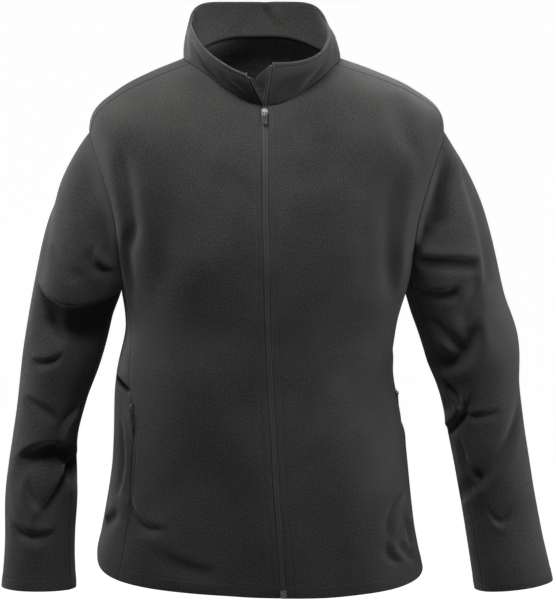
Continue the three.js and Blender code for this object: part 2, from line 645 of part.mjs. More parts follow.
// Collar
const neckLoop = joined(
  seams.left.neckFront,
  evenly(straight(seams.left.yoke[0], pastCentreBack(seams.right.yoke[0])), CELLS.neckBack),
  reversed(seams.right.neckFront).map(pastCentreBack),
);

function collarPoint(angle, height) {
  const [first, last] = [neckLoop[0].angle, neckLoop[neckLoop.length - 1].angle];
  const topFirst = radians(collarTop.left.edge);
  const topLast = radians(360 + collarTop.right.edge);
  const topAngle = lerp(topFirst, topLast, (angle - first) / (last - first));
  const half = Math.sin(topAngle) > 0 ? collarTop.left : collarTop.right;
  const { height: end, level } = Math.cos(topAngle) > 0 ? { height: half.front, level: half.level }
    : { height: collarTop.back, level: collarTop.level };
  const [x, y] = onOval(topAngle, collarTop.half, half.toFront, collarTop.toBack, collarTop.square);
  const rise = (1 - Math.abs(Math.sin(topAngle)) ** level) * (end - collarTop.side);
  const top = vector(x + collarTop.centre, y, collarTop.side + rise);
  const foot = plainBody(angle, NECK);
  const belly = COLLAR_BELLY * 4 * height * (1 - height);
  return foot.lerp(top, height).add(vector(Math.sin(angle), -Math.cos(angle), 0).multiplyScalar(belly));
}

function collarGrid() {
  return collarRows.map((height) => neckLoop.map(({ angle }) => ({
    point: collarPoint(angle, height),
    normal: normalOf(collarPoint, angle, height, STEP.collar),
  })));
}

const grids = {};
for (const [key, side] of [['left', 1], ['right', -1]]) {
  grids[`front_${key}`] = frontGrid(side, seams[key]);
  grids[`side_panel_${key}`] = sidePanelGrid(side, seams[key]);
  const sleeve = sleeveGrids(side, key);
  grids[`sleeve_top_${key}`] = sleeve.top;
  grids[`sleeve_under_${key}`] = sleeve.under;
}
grids.back = backGrid();
grids.collar_outer = collarGrid();
shareNormals(grids);

const jacket = new THREE.Group();
for (const [name, grid] of Object.entries(grids)) {
  const fromCuff = name.startsWith('sleeve');
  const hemRow = (r) => (fromCuff ? grid.length - 1 - r : r);
  const offsets = name === 'collar_outer' ? () => ({ outer: 0, inner: -CLOTH }) : (r) => turnedHem(hemRow(r));
  jacket.add(wall(name, CLOTH_COLOUR, trimmed(grid), offsets));
}

// Depths of what lies behind the cloth at the zip and in the collar
const TAPE_FACE = -(CLOTH + LAYER_GAP);
const LINING_FACE = TAPE_FACE - TAPE - LAYER_GAP;
const GUARD_FACE = LINING_FACE - LINING - 2 * LAYER_GAP;
const layer = (outer, thickness) => ({ outer, inner: outer - thickness });

jacket.add(wall('collar_inner', INNER_COLOUR, trimmed(grids.collar_outer), () => layer(LINING_FACE, LINING)));

// A place at a distance from one grid cell towards another, on the line between them
function slide(from, towards, distance) {
  const t = distance / from.point.distanceTo(towards.point);
  return {
    point: from.point.clone().lerp(towards.point, t),
    mitre: from.mitre.clone().lerp(towards.mitre, clamp(t, 0, 1)),
  };
}

const midway = (a, b) => slide(a, b, a.point.distanceTo(b.point) / 2);

// Tape over the back neck seam
const [underNeck, atNeck] = grids.back.slice(-2);
const neckTape = [atNeck.map((cell, c) => slide(cell, underNeck[c], NECK_TAPE)), atNeck];
jacket.add(wall('neck_tape', TAPE_COLOUR, trimmed(neckTape), () => layer(LINING_FACE, TAPE)));

// Front edges: the front's cell at the edge and the next one in, from the hem up the body and then up
// the collar half. The zip's centre lies half way between the two edges up to the neck seam.
function edgeRows(key) {
  const other = key === 'left' ? 'right' : 'left';
  const body = grids[`front_${key}`].slice(0, CELLS.centreFront).map((row, r) => ({
    edge: row[0], next: row[1], middle: midway(row[0], grids[`front_${other}`][r][0]),
  }));
  const collar = grids.collar_outer.slice(0, -1).map((row) => {
    const [edge, next] = key === 'left' ? row : reversed(row);
    return { edge, next, middle: slide(edge, next, -ZIP_OPENING) };
  });
  return [...body, ...collar];
}

function zipHalf(key) {
  const grid = edgeRows(key).map(({ edge, next, middle }) => [
    slide(middle, edge, zip.centre), slide(middle, edge, zip.chain),
    slide(middle, edge, zip.step), slide(edge, next, zip.tape),
  ]);
  const offsets = (r, c) => ({
    outer: c < 2 ? -zip.sunk : TAPE_FACE - hemSwell(r),
    inner: TAPE_FACE - TAPE - hemSwell(r),
  });
  return wall(`zip_${key}`, CHAIN_COLOUR, grid, offsets);
}
jacket.add(zipHalf('left'), zipHalf('right'));

// Wind guard, sewn behind the wearer's left edge and reaching across the zip
function windGuard() {
  const left = edgeRows('left');
  const right = edgeRows('right');
  const grid = left.map(({ edge, next, middle }, r) => {
    const overNeck = r - CELLS.centreFront;
    const far = overNeck > 0 ? slide(middle, edge, -guard.chin[overNeck])
      : slide(right[r].edge, right[r].next, guard.toRight);
    return [far, middle, slide(edge, next, guard.toLeft)];
  });
  return wall('wind_guard', CLOTH_COLOUR, grid, () => layer(GUARD_FACE, guard.wall));
}
jacket.add(windGuard());

// Pocket zips behind the opened seam
function pocketRows(key) {
  const front = grids[`front_${key}`];
  const panel = grids[`side_panel_${key}`];
  return front.slice(POCKET_START, POCKET_END + 1).map((row, i) => {
    const frontEdge = row[CELLS.across];
    const panelEdge = panel[POCKET_START + i][0];
    const middle = i % CELLS.pocket ? midway(frontEdge, panelEdge) : frontEdge;
    return { middle, inFront: row[CELLS.across - 1], inPanel: panel[POCKET_START + i][1] };
  });
}

function pocketZip(key) {
  const { chain, step, tape } = pocket;
  const grid = pocketRows(key).map(({ middle, inFront, inPanel }, r) => {
    const closed = r % CELLS.pocket ? 0 : chain - zip.centre;
    return [
      ...[tape, step - closed, chain - closed].map((distance) => slide(middle, inFront, distance)),
      ...[chain - closed, step - closed, tape].map((distance) => slide(middle, inPanel, distance)),
    ];
  });
  const offsets = (r, c) => ({
    outer: r % CELLS.pocket ? (c === 2 || c === 3 ? -zip.sunk : TAPE_FACE) : LINING_FACE + TAPE,
    inner: LINING_FACE,
  });
  return wall(`pocket_zip_${key}`, CHAIN_COLOUR, grid, offsets);
}
jacket.add(pocketZip('left'), pocketZip('right'));

// Hard pieces are built lying flat, with x across the zip, y up along it and z out of the cloth
function hard(name, material, geometry, frame) {
  const placed = welded(geometry).applyMatrix4(frame);
  return solid(name, material, [...placed.attributes.position.array], [...placed.index.array]);
}

function welded(geometry) {
  geometry.deleteAttribute('normal');
  geometry.deleteAttribute('uv');
  return mergeVertices(geometry);
}

// Joins two closed geometries into one
function fused(first, second) {
  const [a, b] = [first, second].map((geometry) => {
    const { attributes, index } = welded(geometry);
    const vertProperties = new Float32Array(attributes.position.array);
    const triVerts = new Uint32Array(index.array);
    return new manifold.Manifold(new manifold.Mesh({ numProp: 3, vertProperties, triVerts }));
  });
  const mesh = a.add(b).getMesh();
  const geometry = new THREE.BufferGeometry();
  geometry.setAttribute('position', new THREE.Float32BufferAttribute(mesh.vertProperties, 3));
  geometry.setIndex([...mesh.triVerts]);
  return geometry;
}

const outlined = (corners) => new THREE.Shape(corners.map(([x, y]) => new THREE.Vector2(x, y)));

// Plate between two heights with its rims cut off by edge
function plate(corners, bottom, top, edge) {
  const geometry = new THREE.ExtrudeGeometry(outlined(corners), {
    depth: top - bottom - 2 * edge,
    bevelThickness: edge, bevelSize: edge, bevelOffset: -edge, bevelSegments: 1,
  });
  return geometry.translate(0, 0, bottom + edge);
}

// Extrudes a shape drawn along the zip and out of the cloth, to both sides of the middle
function sideways(corners, half) {
  const geometry = new THREE.ExtrudeGeometry(outlined(corners), { depth: 2 * half, bevelEnabled: false });
  const [along, out, across] = [vector(0, 1, 0), vector(0, 0, 1), vector(1, 0, 0)];
  return geometry.translate(0, 0, -half).applyMatrix4(new THREE.Matrix4().makeBasis(along, out, across));
}

// A shield with a bridge over it. Its outline is narrow at the tail and has shoulders near the nose.
const shield = { tail: 0.62, belly: 0.78, nose: 0.6, bellyAt: -0.55, widestFrom: 0.25, widestTo: 0.7 };

function sliderBody(acrossScale = 1, alongScale = 1) {
  const { halfWidth: w, nose, tail, bottom, top, edge, bridge } = slider;
  const half = [
    [shield.tail * w, -tail], [shield.belly * w, shield.bellyAt * tail], [w, shield.widestFrom * nose],
    [w, shield.widestTo * nose], [shield.nose * w, nose],
  ];
  const outline = [...half, ...reversed(half).map(([x, y]) => [-x, y])];
  const { foot, leg, shoulder, crown, under } = bridge;
  const arch = [
    [-foot, top - edge], [-foot + leg, top - edge], [-foot + leg, shoulder - leg / 2],
    [-foot + 2 * leg, under], [foot - 2 * leg, under], [foot - leg, shoulder - leg / 2],
    [foot - leg, top - edge], [foot, top - edge], [foot, shoulder], [foot - leg, crown],
    [-foot + leg, crown], [-foot, shoulder],
  ];
  const body = fused(plate(outline, bottom, top, edge), sideways(arch, bridge.half));
  return body.scale(acrossScale, alongScale, 1);
}

// Pull tab with its crossbar on the hinge line, hanging down the zip
function pullTab(length) {
  const { thick, inside, outside, opening, corner } = tab;
  const bar = thick / 2;
  const outline = outlined([
    [outside, bar], [-outside, bar], [-outside, -length + corner], [-outside + corner, -length],
    [outside - corner, -length], [outside, -length + corner],
  ]);
  outline.holes.push(outlined([[-inside, -bar], [-inside, -opening], [inside, -opening], [inside, -bar]]));
  return new THREE.ExtrudeGeometry(outline, { depth: thick, bevelEnabled: false }).translate(0, 0, -bar);
}

// Frame of a slider on a zip, from the cells of the zip's middle below and above it
function zipFrame(below, above, share) {
  const at = slide(below, above, share * below.point.distanceTo(above.point));
  const up = above.point.clone().sub(below.point).normalize();
  const out = at.mitre.clone().addScaledVector(up, -at.mitre.dot(up)).normalize();
  return new THREE.Matrix4().makeBasis(up.clone().cross(out), up, out).setPosition(at.point);
}

const onPin = (frame) => frame.clone().multiply(new THREE.Matrix4().makeTranslation(0, 0, tab.pin));

const frontRows = edgeRows('left').map((row) => row.middle);
const frontFrame = zipFrame(frontRows[CELLS.centreFront - 1], frontRows[CELLS.centreFront], SLIDER_AT);
jacket.add(hard('zip_slider', METAL_COLOUR, sliderBody(), frontFrame));
jacket.add(hard('zip_pull', PULL_COLOUR, pullTab(tabLength.front), onPin(frontFrame)));

const { halfWidth, from, to, top } = zipBox;
const boxOutline = [[-halfWidth, from], [halfWidth, from], [halfWidth, to], [-halfWidth, to]];
const boxFrame = zipFrame(frontRows[0], frontRows[1], 0);
jacket.add(hard('zip_box', METAL_COLOUR, plate(boxOutline, slider.bottom, top, slider.edge), boxFrame));

for (const key of ['left', 'right']) {
  const middles = pocketRows(key).map((row) => row.middle);
  const row = CELLS.pocket - POCKET_SLIDER_ROW;
  const frame = zipFrame(middles[row], middles[row + 1], 0.5);
  jacket.add(hard(`pocket_slider_${key}`, METAL_COLOUR, sliderBody(...pocketSlider), frame));
  jacket.add(hard(`pocket_pull_${key}`, PULL_COLOUR, pullTab(tabLength.pocket), onPin(frame)));
}

export default jacket;
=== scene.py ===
import json
import math

import bmesh
import bpy
import numpy as np
from mathutils import Matrix, Vector, kdtree


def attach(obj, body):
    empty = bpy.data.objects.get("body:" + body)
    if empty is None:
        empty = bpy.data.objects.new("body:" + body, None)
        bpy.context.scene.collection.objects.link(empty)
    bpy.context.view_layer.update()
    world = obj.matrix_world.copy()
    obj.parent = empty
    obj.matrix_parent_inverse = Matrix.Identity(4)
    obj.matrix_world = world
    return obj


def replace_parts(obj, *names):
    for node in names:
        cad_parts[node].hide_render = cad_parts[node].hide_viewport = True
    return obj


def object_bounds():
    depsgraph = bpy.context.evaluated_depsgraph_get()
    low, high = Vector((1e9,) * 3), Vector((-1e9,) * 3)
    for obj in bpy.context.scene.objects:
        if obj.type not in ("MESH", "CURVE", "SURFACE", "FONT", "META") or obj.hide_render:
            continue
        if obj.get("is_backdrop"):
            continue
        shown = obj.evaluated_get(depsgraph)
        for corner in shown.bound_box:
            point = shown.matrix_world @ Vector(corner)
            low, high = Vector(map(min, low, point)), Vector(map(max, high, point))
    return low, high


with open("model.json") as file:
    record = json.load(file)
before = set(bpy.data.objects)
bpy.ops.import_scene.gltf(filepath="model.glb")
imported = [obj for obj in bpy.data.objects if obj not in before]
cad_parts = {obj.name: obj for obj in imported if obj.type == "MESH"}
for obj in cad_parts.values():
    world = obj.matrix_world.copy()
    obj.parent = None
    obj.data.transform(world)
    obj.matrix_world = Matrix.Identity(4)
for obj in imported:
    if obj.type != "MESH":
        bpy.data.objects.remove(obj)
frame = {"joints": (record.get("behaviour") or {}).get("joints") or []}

cad_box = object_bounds()

# Camera and studio
# The camera stands 2.2 m from the jacket, a little above it and to the wearer's right, as in the
# photo of 556 x 600 pixels. The jacket hangs in a round pale studio with soft lamps above and beside it.
PHOTO_AZIMUTH = math.radians(-6)
PHOTO_ELEVATION = math.radians(12)
CAMERA_DISTANCE = 2.2
AIM = Vector((0.018, 0.0, -0.338))
METRES_PER_PIXEL = 0.00138
PHOTO_LONG_SIDE = 600
SENSOR_WIDTH = 36.0

back_to_camera = Vector((
    math.sin(PHOTO_AZIMUTH) * math.cos(PHOTO_ELEVATION),
    -math.cos(PHOTO_AZIMUTH) * math.cos(PHOTO_ELEVATION),
    math.sin(PHOTO_ELEVATION),
))
camera_data = bpy.data.cameras.new("camera")
camera_data.sensor_width = SENSOR_WIDTH
camera_data.lens = SENSOR_WIDTH * CAMERA_DISTANCE / (METRES_PER_PIXEL * PHOTO_LONG_SIDE)
camera = bpy.data.objects.new("camera", camera_data)
camera.location = AIM + back_to_camera * CAMERA_DISTANCE
camera.rotation_mode = "QUATERNION"
camera.rotation_quaternion = (-back_to_camera).to_track_quat("-Z", "Y")
bpy.context.scene.collection.objects.link(camera)
bpy.context.scene.camera = camera

FLOOR_HEIGHT = -1.45  # a wearer's shoulders stand this far above the floor
FLOOR_RADIUS = 3.4
COVE_RADIUS, COVE_STEPS = 1.4, 8
WALL_TOP = 2.6
STUDIO_SIDES = 64
STUDIO_GREY = 0.32
GLOW_ON_CLOTH, GLOW_SEEN = 0.02, 0.95  # of the studio's paint, on the cloth and as the camera sees it
SKY_STRENGTH = 0.02
LAMPS = [
    # name, place, aim, width and height, watts
    ("lamp_overhead", (-0.36, -0.55, 0.86), (0.0, -0.05, -0.2), (0.55, 0.3), 14),
    ("lamp_over_back", (0.1, 0.6, 1.1), (0.0, 0.0, -0.2), (1.2, 0.6), 8),
    ("lamp_right_rim", (-1.5, 0.25, 0.3), (-0.25, 0.0, -0.4), (0.5, 1.3), 9),
    ("lamp_left_rim", (1.5, 0.2, 0.2), (0.3, 0.0, -0.4), (0.5, 1.3), 9),
    ("lamp_left_side", (1.5, -0.6, 0.3), (0.35, 0.0, -0.35), (0.5, 0.7), 13),
    ("lamp_fill", (-0.3, -2.6, 0.4), (0.0, 0.0, -0.4), (1.6, 1.2), 0.3),
]


def new_object(name, shape, materials):
    """An object from a bmesh, with smooth faces and its materials."""
    mesh = bpy.data.meshes.new(name)
    shape.to_mesh(mesh)
    shape.free()
    mesh.shade_smooth()
    for material in materials:
        mesh.materials.append(material)
    made = bpy.data.objects.new(name, mesh)
    bpy.context.scene.collection.objects.link(made)
    return made


def new_material(name):
    """A material, its node tree and its shader."""
    material = bpy.data.materials.new(name)
    material.use_nodes = True
    return material, material.node_tree, material.node_tree.nodes["Principled BSDF"]


def fill_inputs(tree, node, inputs):
    """Sets a node's named inputs, or links them where a socket is given."""
    for name, value in inputs.items():
        if hasattr(value, "is_output"):
            tree.links.new(value, node.inputs[name])
        else:
            node.inputs[name].default_value = value
    return node


def add_node(tree, kind, inputs):
    """A new node with its named inputs filled."""
    return fill_inputs(tree, tree.nodes.new(kind), inputs)


def ranged(tree, mask, low, high):
    """A value that runs from low to high with a mask."""
    between = add_node(tree, "ShaderNodeMapRange", {"Value": mask, "To Min": low, "To Max": high})
    return between.outputs["Result"]


def studio_cove():
    """A round floor that curves up into a wall all round, spun from its profile."""
    studio = bmesh.new()
    profile = [studio.verts.new((0, 0, FLOOR_HEIGHT)), studio.verts.new((FLOOR_RADIUS, 0, FLOOR_HEIGHT))]
    for step in range(1, COVE_STEPS + 1):
        turn = math.radians(90 * step / COVE_STEPS)
        out = FLOOR_RADIUS + COVE_RADIUS * math.sin(turn)
        profile.append(studio.verts.new((out, 0, FLOOR_HEIGHT + COVE_RADIUS * (1 - math.cos(turn)))))
    profile.append(studio.verts.new((FLOOR_RADIUS + COVE_RADIUS, 0, WALL_TOP)))
    edges = [studio.edges.new(pair) for pair in zip(profile, profile[1:])]
    bmesh.ops.spin(
        studio, geom=profile + edges, cent=(0, 0, 0), axis=(0, 0, 1), angle=math.tau,
        steps=STUDIO_SIDES, use_merge=True,
    )
    bmesh.ops.remove_doubles(studio, verts=studio.verts, dist=1e-5)
    bmesh.ops.recalc_face_normals(studio, faces=studio.faces)
    paint, tree, shader = new_material("studio_paint")
    seen = tree.nodes.new("ShaderNodeLightPath").outputs["Is Camera Ray"]
    fill_inputs(tree, shader, {
        "Base Color": (STUDIO_GREY, STUDIO_GREY, STUDIO_GREY, 1), "Roughness": 0.9,
        "Emission Color": (1, 1, 1, 1), "Emission Strength": ranged(tree, seen, GLOW_ON_CLOTH, GLOW_SEEN),
    })
    new_object("studio", studio, [paint])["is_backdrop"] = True


def softbox(name, place, aim, size, watts):
    """A soft lamp that faces a point of the jacket."""
    lamp = bpy.data.lights.new(name, "AREA")
    lamp.shape = "RECTANGLE"
    lamp.size, lamp.size_y = size
    lamp.energy = watts
    holder = bpy.data.objects.new(name, lamp)
    holder.location = place
    holder.rotation_mode = "QUATERNION"
    holder.rotation_quaternion = (Vector(place) - Vector(aim)).to_track_quat("Z", "Y")
    holder.visible_camera = False
    bpy.context.scene.collection.objects.link(holder)


studio_cove()
for lamp in LAMPS:
    softbox(*lamp)
sky = bpy.data.worlds.new("studio_air")
sky.use_nodes = True
air = sky.node_tree.nodes["Background"]
fill_inputs(sky.node_tree, air, {"Color": (1, 1, 1, 1), "Strength": SKY_STRENGTH})
bpy.context.scene.world = sky
bpy.context.scene.view_settings.view_transform = "Standard"

# Fronts
# Two fronts of bonded softshell, a dense polyester face on a fleece back. Each runs from the zip to the
# side panel and over the shoulder to the forward shoulder seam. The front edge is turned under along
# the zip and stitched, the hem is turned up 19 mm and stitched, and the other edges are sewn seams.
MM = 0.001
CLOTH_THICKNESS = 1.1  # of one layer; a turned hem holds two
HEM_DEPTH = 19.0

# Rings round the body from hem to neck, millimetres. Each has its height at the side seams, centre
# front and centre back, its half width and its reach to front and back. The superellipse exponent is
# square, sway moves the ring sideways, twist turns it in degrees and tip lowers it on the wearer's left.
# nape is how squarely the ring holds its height across the back, zip how far the zip lies from the front.
BODY_RINGS = np.array([
    # side, front, back, half, to_front, to_back, square, sway, twist, tip, nape, zip
    (-709, -717, -724, 230, 142, 134, 3.0, -8.5, 6, 11, 2, 4.3),  # hem
    (-647, -655, -660, 217.5, 140, 131, 2.8, -8.5, 6, 7, 2, 0.4),  # over the hem
    (-575, -580, -585, 208, 138, 125, 2.6, -7.5, 6, 3, 2, -4.9),  # hip
    (-505, -511, -514, 200.5, 135, 117, 2.5, -10.5, 6, 0, 2, -5.1),  # pocket foot
    (-435, -442, -442, 191, 132, 109, 2.45, -14.5, 6, 0, 2, -4.3),  # pocket head
    (-368, -377, -371, 187, 130, 107, 2.4, -5, 5, 0, 2, -14.1),  # waist
    (-303, -318, -304, 199, 134, 117, 2.4, 0, 4, 0, 2, -19.1),  # armpit
    (-225, -262, -235, 216, 136, 124, 2.4, 1, 3, 0, 2, -18.9),  # chest
    (-148, -208, -166, 234, 131, 124, 2.35, 3, 2, 0, 2, -18.9),  # upper chest
    (-84, -161, -102, 236, 123, 116, 2.3, 4, 1, 0, 2, -17.1),  # shoulder point
    (-48, -122, -52, 198, 112, 103, 2.2, 2, 0, 0, 2, -12),  # mid shoulder
    (-24, -91, -8, 149, 97, 84, 2.1, -1, -1, 0, 3, -6.3),  # collar foot
    (-8, -64, 17, 105, 78, 61, 2.0, -3, -2, 0, 5, -2.3),  # neck seam
])
NECK = len(BODY_RINGS) - 1
BODY_ARC = 165.0  # mean radius that turns an angle into distance across

# Folds in surface distances: across from centre front, along as height, each from one end of the fold
# to the other. lift is the ridge on one side of the line and dip the trough on the other, as far out as
# width, bow is the line's bend, and edge how far the cloth takes to turn from ridge to trough.
BODY_FOLDS = [
    # across_from, across_to, along_from, along_to, width, lift, dip, bow, edge
    (-206, -201, -119, -237, -14, 4.6, 7.4, -3, 5),  # drape at the right armhole
    (-199, -221, -216, -321, -12, 2.7, 4.9, 5, 4),  # right side of the chest
    (-171, -181, -136, -293, -26, 2.4, 4.6, -8, 12),  # right chest
    (170, 173, -145, -310, 22, 4.6, 9.5, 11, 6),  # drape at the left armhole
    (206, 183, -61, -125, 16, 1.9, 4.3, 10, 8),  # left shoulder
    (146, 140, -139, -291, 24, 2.2, 4.1, 10, 12),  # left chest
    (-200, -162, -593, -620, 14, 3.0, 5.4, 7, 4),  # drags from the right pocket
    (-171, -99, -639, -674, 18, 1.6, 3.0, 6, 6),  # low on the right front
    (-225, -222, -493, -585, 9, 5.4, 5.4, -8, 3),  # right side panel
    (-264, -215, -434, -440, 8, 3.5, 5.7, -3, 3),  # over the right pocket
    (199, 200, -467, -558, -9, 4.6, 5.4, 2, 3),  # left side panel
    (173, 148, -601, -642, 9, 4.9, 4.6, 5, 3),  # crumpled above the hem
    (146, 158, -657, -685, 8, 4.6, 4.6, 4, 3),
    (162, 187, -658, -691, 8, 4.1, 4.1, 3, 3),
    (176, 181, -628, -676, 8, 4.1, 4.1, -5, 3),
    (-264, -226, -640, -610, 14, 2.7, 4.1, 4, 5),
    (262, 214, -392, -420, 13, 2.2, 3.2, 3, 5),
    (266, 216, -512, -528, 14, 2.7, 3.5, 4, 5),
    (-120, -30, -118, -165, 26, 1.1, 1.6, 6, 14),  # from the neck over the chest
    (122, 40, -122, -170, 26, 1.1, 1.6, -6, 14),
    (-480, -350, -425, -385, 34, 5.4, 8.1, 10, 14),  # back waist
    (480, 350, -405, -370, 34, 5.4, 8.1, 10, 14),
    (-430, -330, -344, -352, 20, 2.2, 3.5, 6, 8),
    (440, 345, -462, -448, 22, 2.4, 3.8, -6, 8),
    (-455, -380, -250, -180, 24, 2.7, 4.3, 8, 9),  # shoulder blades
    (455, 380, -245, -180, 24, 2.6, 4.1, 8, 9),
    (-500, -420, -500, -545, 26, 2.4, 3.8, 5, 9),  # back above the hem
    (505, 415, -520, -575, 26, 2.6, 3.8, -6, 9),
]
FADE_REACH, FADE_FALL = 0.52, 5  # how a fold fades past its ends
RIDGE_REACH, RIDGE_FALL = 1.1, 1.8  # how its ridge and its trough fall away, in widths
TROUGH_REACH, TROUGH_FALL = 1.15, 3
# Slow waves that keep the plain stretches from lying dead flat: lengths across and along, turn, height
WAVES = [(150, 210, 0.4, 0.55), (95, 130, 2.1, 0.35), (61, 88, 4.4, 0.2)]
WAVE_BEND, WAVE_BEND_LENGTH, WAVE_SHIFT = 2.2, 170, 1.7


def through(rows, place):
    """Reads a table of rows at places between them, on a smooth curve through all of them."""
    last = len(rows) - 1
    i = np.clip(np.floor(place).astype(int), 0, last - 1)
    f = (place - i)[..., None]
    ends = np.vstack([2 * rows[0] - rows[1], rows, 2 * rows[last] - rows[last - 1]])
    a, b, c, d = (ends[i + k] for k in range(4))
    return b + 0.5 * f * (c - a + f * (2 * a - 5 * b + 4 * c - d + f * (3 * (b - c) + d - a)))


def relief_of(folds, across, along):
    """Height that the folds add at places given by their distances across and along."""
    height = np.zeros(np.shape(across))
    for across_from, across_to, along_from, along_to, width, lift, dip, bow, edge in folds:
        dx, dy = across_to - across_from, along_to - along_from
        length = math.hypot(dx, dy)
        px, py = across - across_from, along - along_from
        t = (px * dx + py * dy) / length**2
        q = ((px * dy - py * dx) / length - bow * 4 * t * (1 - t)) / width
        fade = np.exp(-np.minimum(np.abs(t - 0.5) / FADE_REACH, 9) ** FADE_FALL)
        past = 0.5 + 0.5 * np.tanh(q * abs(width) / edge)
        ridge = lift * np.exp(-(np.abs(q / RIDGE_REACH) ** RIDGE_FALL))
        trough = dip * np.exp(-(np.abs(q / TROUGH_REACH) ** TROUGH_FALL))
        height = height + fade * (ridge * (1 - past) - trough * past)
    return height


def waves_of(across, along):
    """Height of the slow waves."""
    height = np.zeros(np.shape(across))
    bend = WAVE_BEND * np.sin(along / WAVE_BEND_LENGTH)
    for across_length, along_length, turn, size in WAVES:
        height = height + size * np.sin(across / across_length * math.tau + turn + bend) \
            * np.cos(along / along_length * math.tau + WAVE_SHIFT * turn)
    return height


def on_oval(angle, half, to_front, to_back, square):
    """Point at a true angle on a superellipse with its own reach to front and back."""
    s, c = np.sin(angle), np.cos(angle)
    reach = np.where(c > 0, to_front, to_back)
    size = ((np.abs(s) / half) ** square + (np.abs(c) / reach) ** square) ** (-1 / square)
    return size * s, -size * c


def plain_body(angle, level):
    """The body without folds. angle runs from centre front towards the wearer's left."""
    side, front, back, half, to_front, to_back, square, sway, twist, tip, nape = np.moveaxis(
        through(BODY_RINGS[:, :11], level), -1, 0)
    turned = angle + np.radians(twist)
    x, y = on_oval(turned, half, to_front, to_back, square)
    s, c = np.sin(turned), np.cos(turned)
    rise = np.where(c > 0, c * c * (front - side), (1 - np.abs(s) ** nape) * (back - side))
    return np.stack([x + sway, y, side + rise - tip * s], axis=-1)


def unit(vectors):
    """Vectors brought to length 1."""
    return vectors / np.maximum(np.linalg.norm(vectors, axis=-1, keepdims=True), 1e-9)


def normals_of(surface, u, v, du, dv):
    """Outward normals of a surface that is given by two parameters."""
    return unit(np.cross(surface(u + du, v) - surface(u - du, v), surface(u, v + dv) - surface(u, v - dv)))


def wrapped(angle):
    """An angle brought to half a turn either way."""
    return np.arctan2(np.sin(angle), np.cos(angle))


def body_point(angle, level):
    """The body with its folds and waves."""
    point = plain_body(angle, level)
    across, along = wrapped(angle) * BODY_ARC, point[..., 2]
    height = relief_of(BODY_FOLDS, across, along)
    height = height + waves_of(angle * BODY_ARC, along) * np.clip((NECK - level) / 2, 0, 1)
    return point + normals_of(plain_body, angle, level, 0.02, 0.05) * height[..., None]


def body_normal(angle, level):
    """Outward normals of the body with its folds."""
    return normals_of(body_point, angle, level, 0.02, 0.05)


def at_places(surface, places):
    """Points or normals of a surface at places given as pairs of angle and level."""
    return surface(places[:, 0], places[:, 1])


SEARCH_ROUNDS, SEARCH_STEP = 14, 0.01
LONGEST_TURN, LONGEST_CLIMB = 0.2, 0.8  # of one round of the search, in angle and in level


def place_on_body(y, z, angle, level):
    """Angle and level on the body at a given y and z, searched from a first guess."""
    for _ in range(SEARCH_ROUNDS):
        here = plain_body(angle, level)
        by_angle = (plain_body(angle + SEARCH_STEP, level) - here) / SEARCH_STEP
        by_level = (plain_body(angle, level + SEARCH_STEP) - here) / SEARCH_STEP
        det = by_angle[..., 1] * by_level[..., 2] - by_level[..., 1] * by_angle[..., 2]
        ry, rz = y - here[..., 1], z - here[..., 2]
        turn = (ry * by_level[..., 2] - rz * by_level[..., 1]) / det
        climb = (by_angle[..., 1] * rz - by_angle[..., 2] * ry) / det
        angle = angle + np.clip(turn, -LONGEST_TURN, LONGEST_TURN)
        level = level + np.clip(climb, -LONGEST_CLIMB, LONGEST_CLIMB)
    return np.stack([angle, level], axis=-1)


# The armhole is an ellipse seen from the side. Turns round it are in degrees from its top, over the front.
ARMHOLE_Y, ARMHOLE_Z, ARMHOLE_HEIGHT = 4.0, -212.0, 108.0
ARMHOLE_TO_FRONT, ARMHOLE_TO_BACK = {1: 77.0, -1: 67.0}, 66.0
YOKE_TURN = 21.0  # where the shoulder seam meets the armhole
UNDERARM_TURN = 148.0  # where the side panel meets it, in front and behind
YOKE_NECK_ANGLE = math.radians(72)  # where the shoulder seam meets the neck seam
SIDE_FRONT_ANGLE, SIDE_BACK_ANGLE = math.radians(70), math.radians(112)
LEAN_FROM = 3.0  # the ring above which both side seams lean towards the armpit
ZIP_OPENING = 5.0  # half the gap between the two front edges
POCKET_BOTTOM, POCKET_TOP = -606.0, -447.0
POCKET_HALF_OPENING, POCKET_END = 3.2, 4.0
FINE_STEPS = 400  # of a seam line, on which its length is measured


def armhole_place(side, turn):
    """Places on the body round an armhole; side is +1 on the wearer's left."""
    t = np.radians(turn)
    reach = np.where(np.sin(t) > 0, ARMHOLE_TO_FRONT[side], ARMHOLE_TO_BACK)
    y = ARMHOLE_Y - reach * np.sin(t)
    z = ARMHOLE_Z + ARMHOLE_HEIGHT * np.cos(t)
    return place_on_body(y, z, side * (math.pi / 2 - 0.35 * np.sin(t)), 7.5 + 1.5 * np.cos(t))


def evenly(line, count):
    """Places evenly spaced along a line that is drawn on the body."""
    fine = np.linspace(0, 1, FINE_STEPS + 1)
    places = line(fine)
    points = at_places(body_point, places)
    run = np.concatenate([[0], np.cumsum(np.linalg.norm(np.diff(points, axis=0), axis=1))])
    return line(np.interp(np.linspace(0, run[-1], count + 1), run, fine))


def straight(start, end):
    """A straight line between two places, in angle and level."""
    return lambda t: start + (np.asarray(end) - start) * np.asarray(t)[:, None]


def up_seam(angle_at, top_level, count):
    """Places evenly up a seam from the hem, whose angle depends on the level."""
    def line(t):
        level = np.asarray(t) * top_level
        return np.stack([angle_at(level), level], axis=-1)
    return evenly(line, count)


def joined(*lines):
    """Seam lines end to end, without the doubled places between them."""
    return np.vstack([lines[0], *(line[1:] for line in lines[1:])])


# Cells along each seam. Neighbours share them, so the edges that meet have the same number.
ACROSS, SIDE_SEAM, ARM_FRONT, ARM_UNDER, ARM_BACK = 48, 150, 72, 32, 80
CENTRE_FRONT, NECK_FRONT, NECK_BACK, SIDE_PANEL = 182, 40, 112, 32


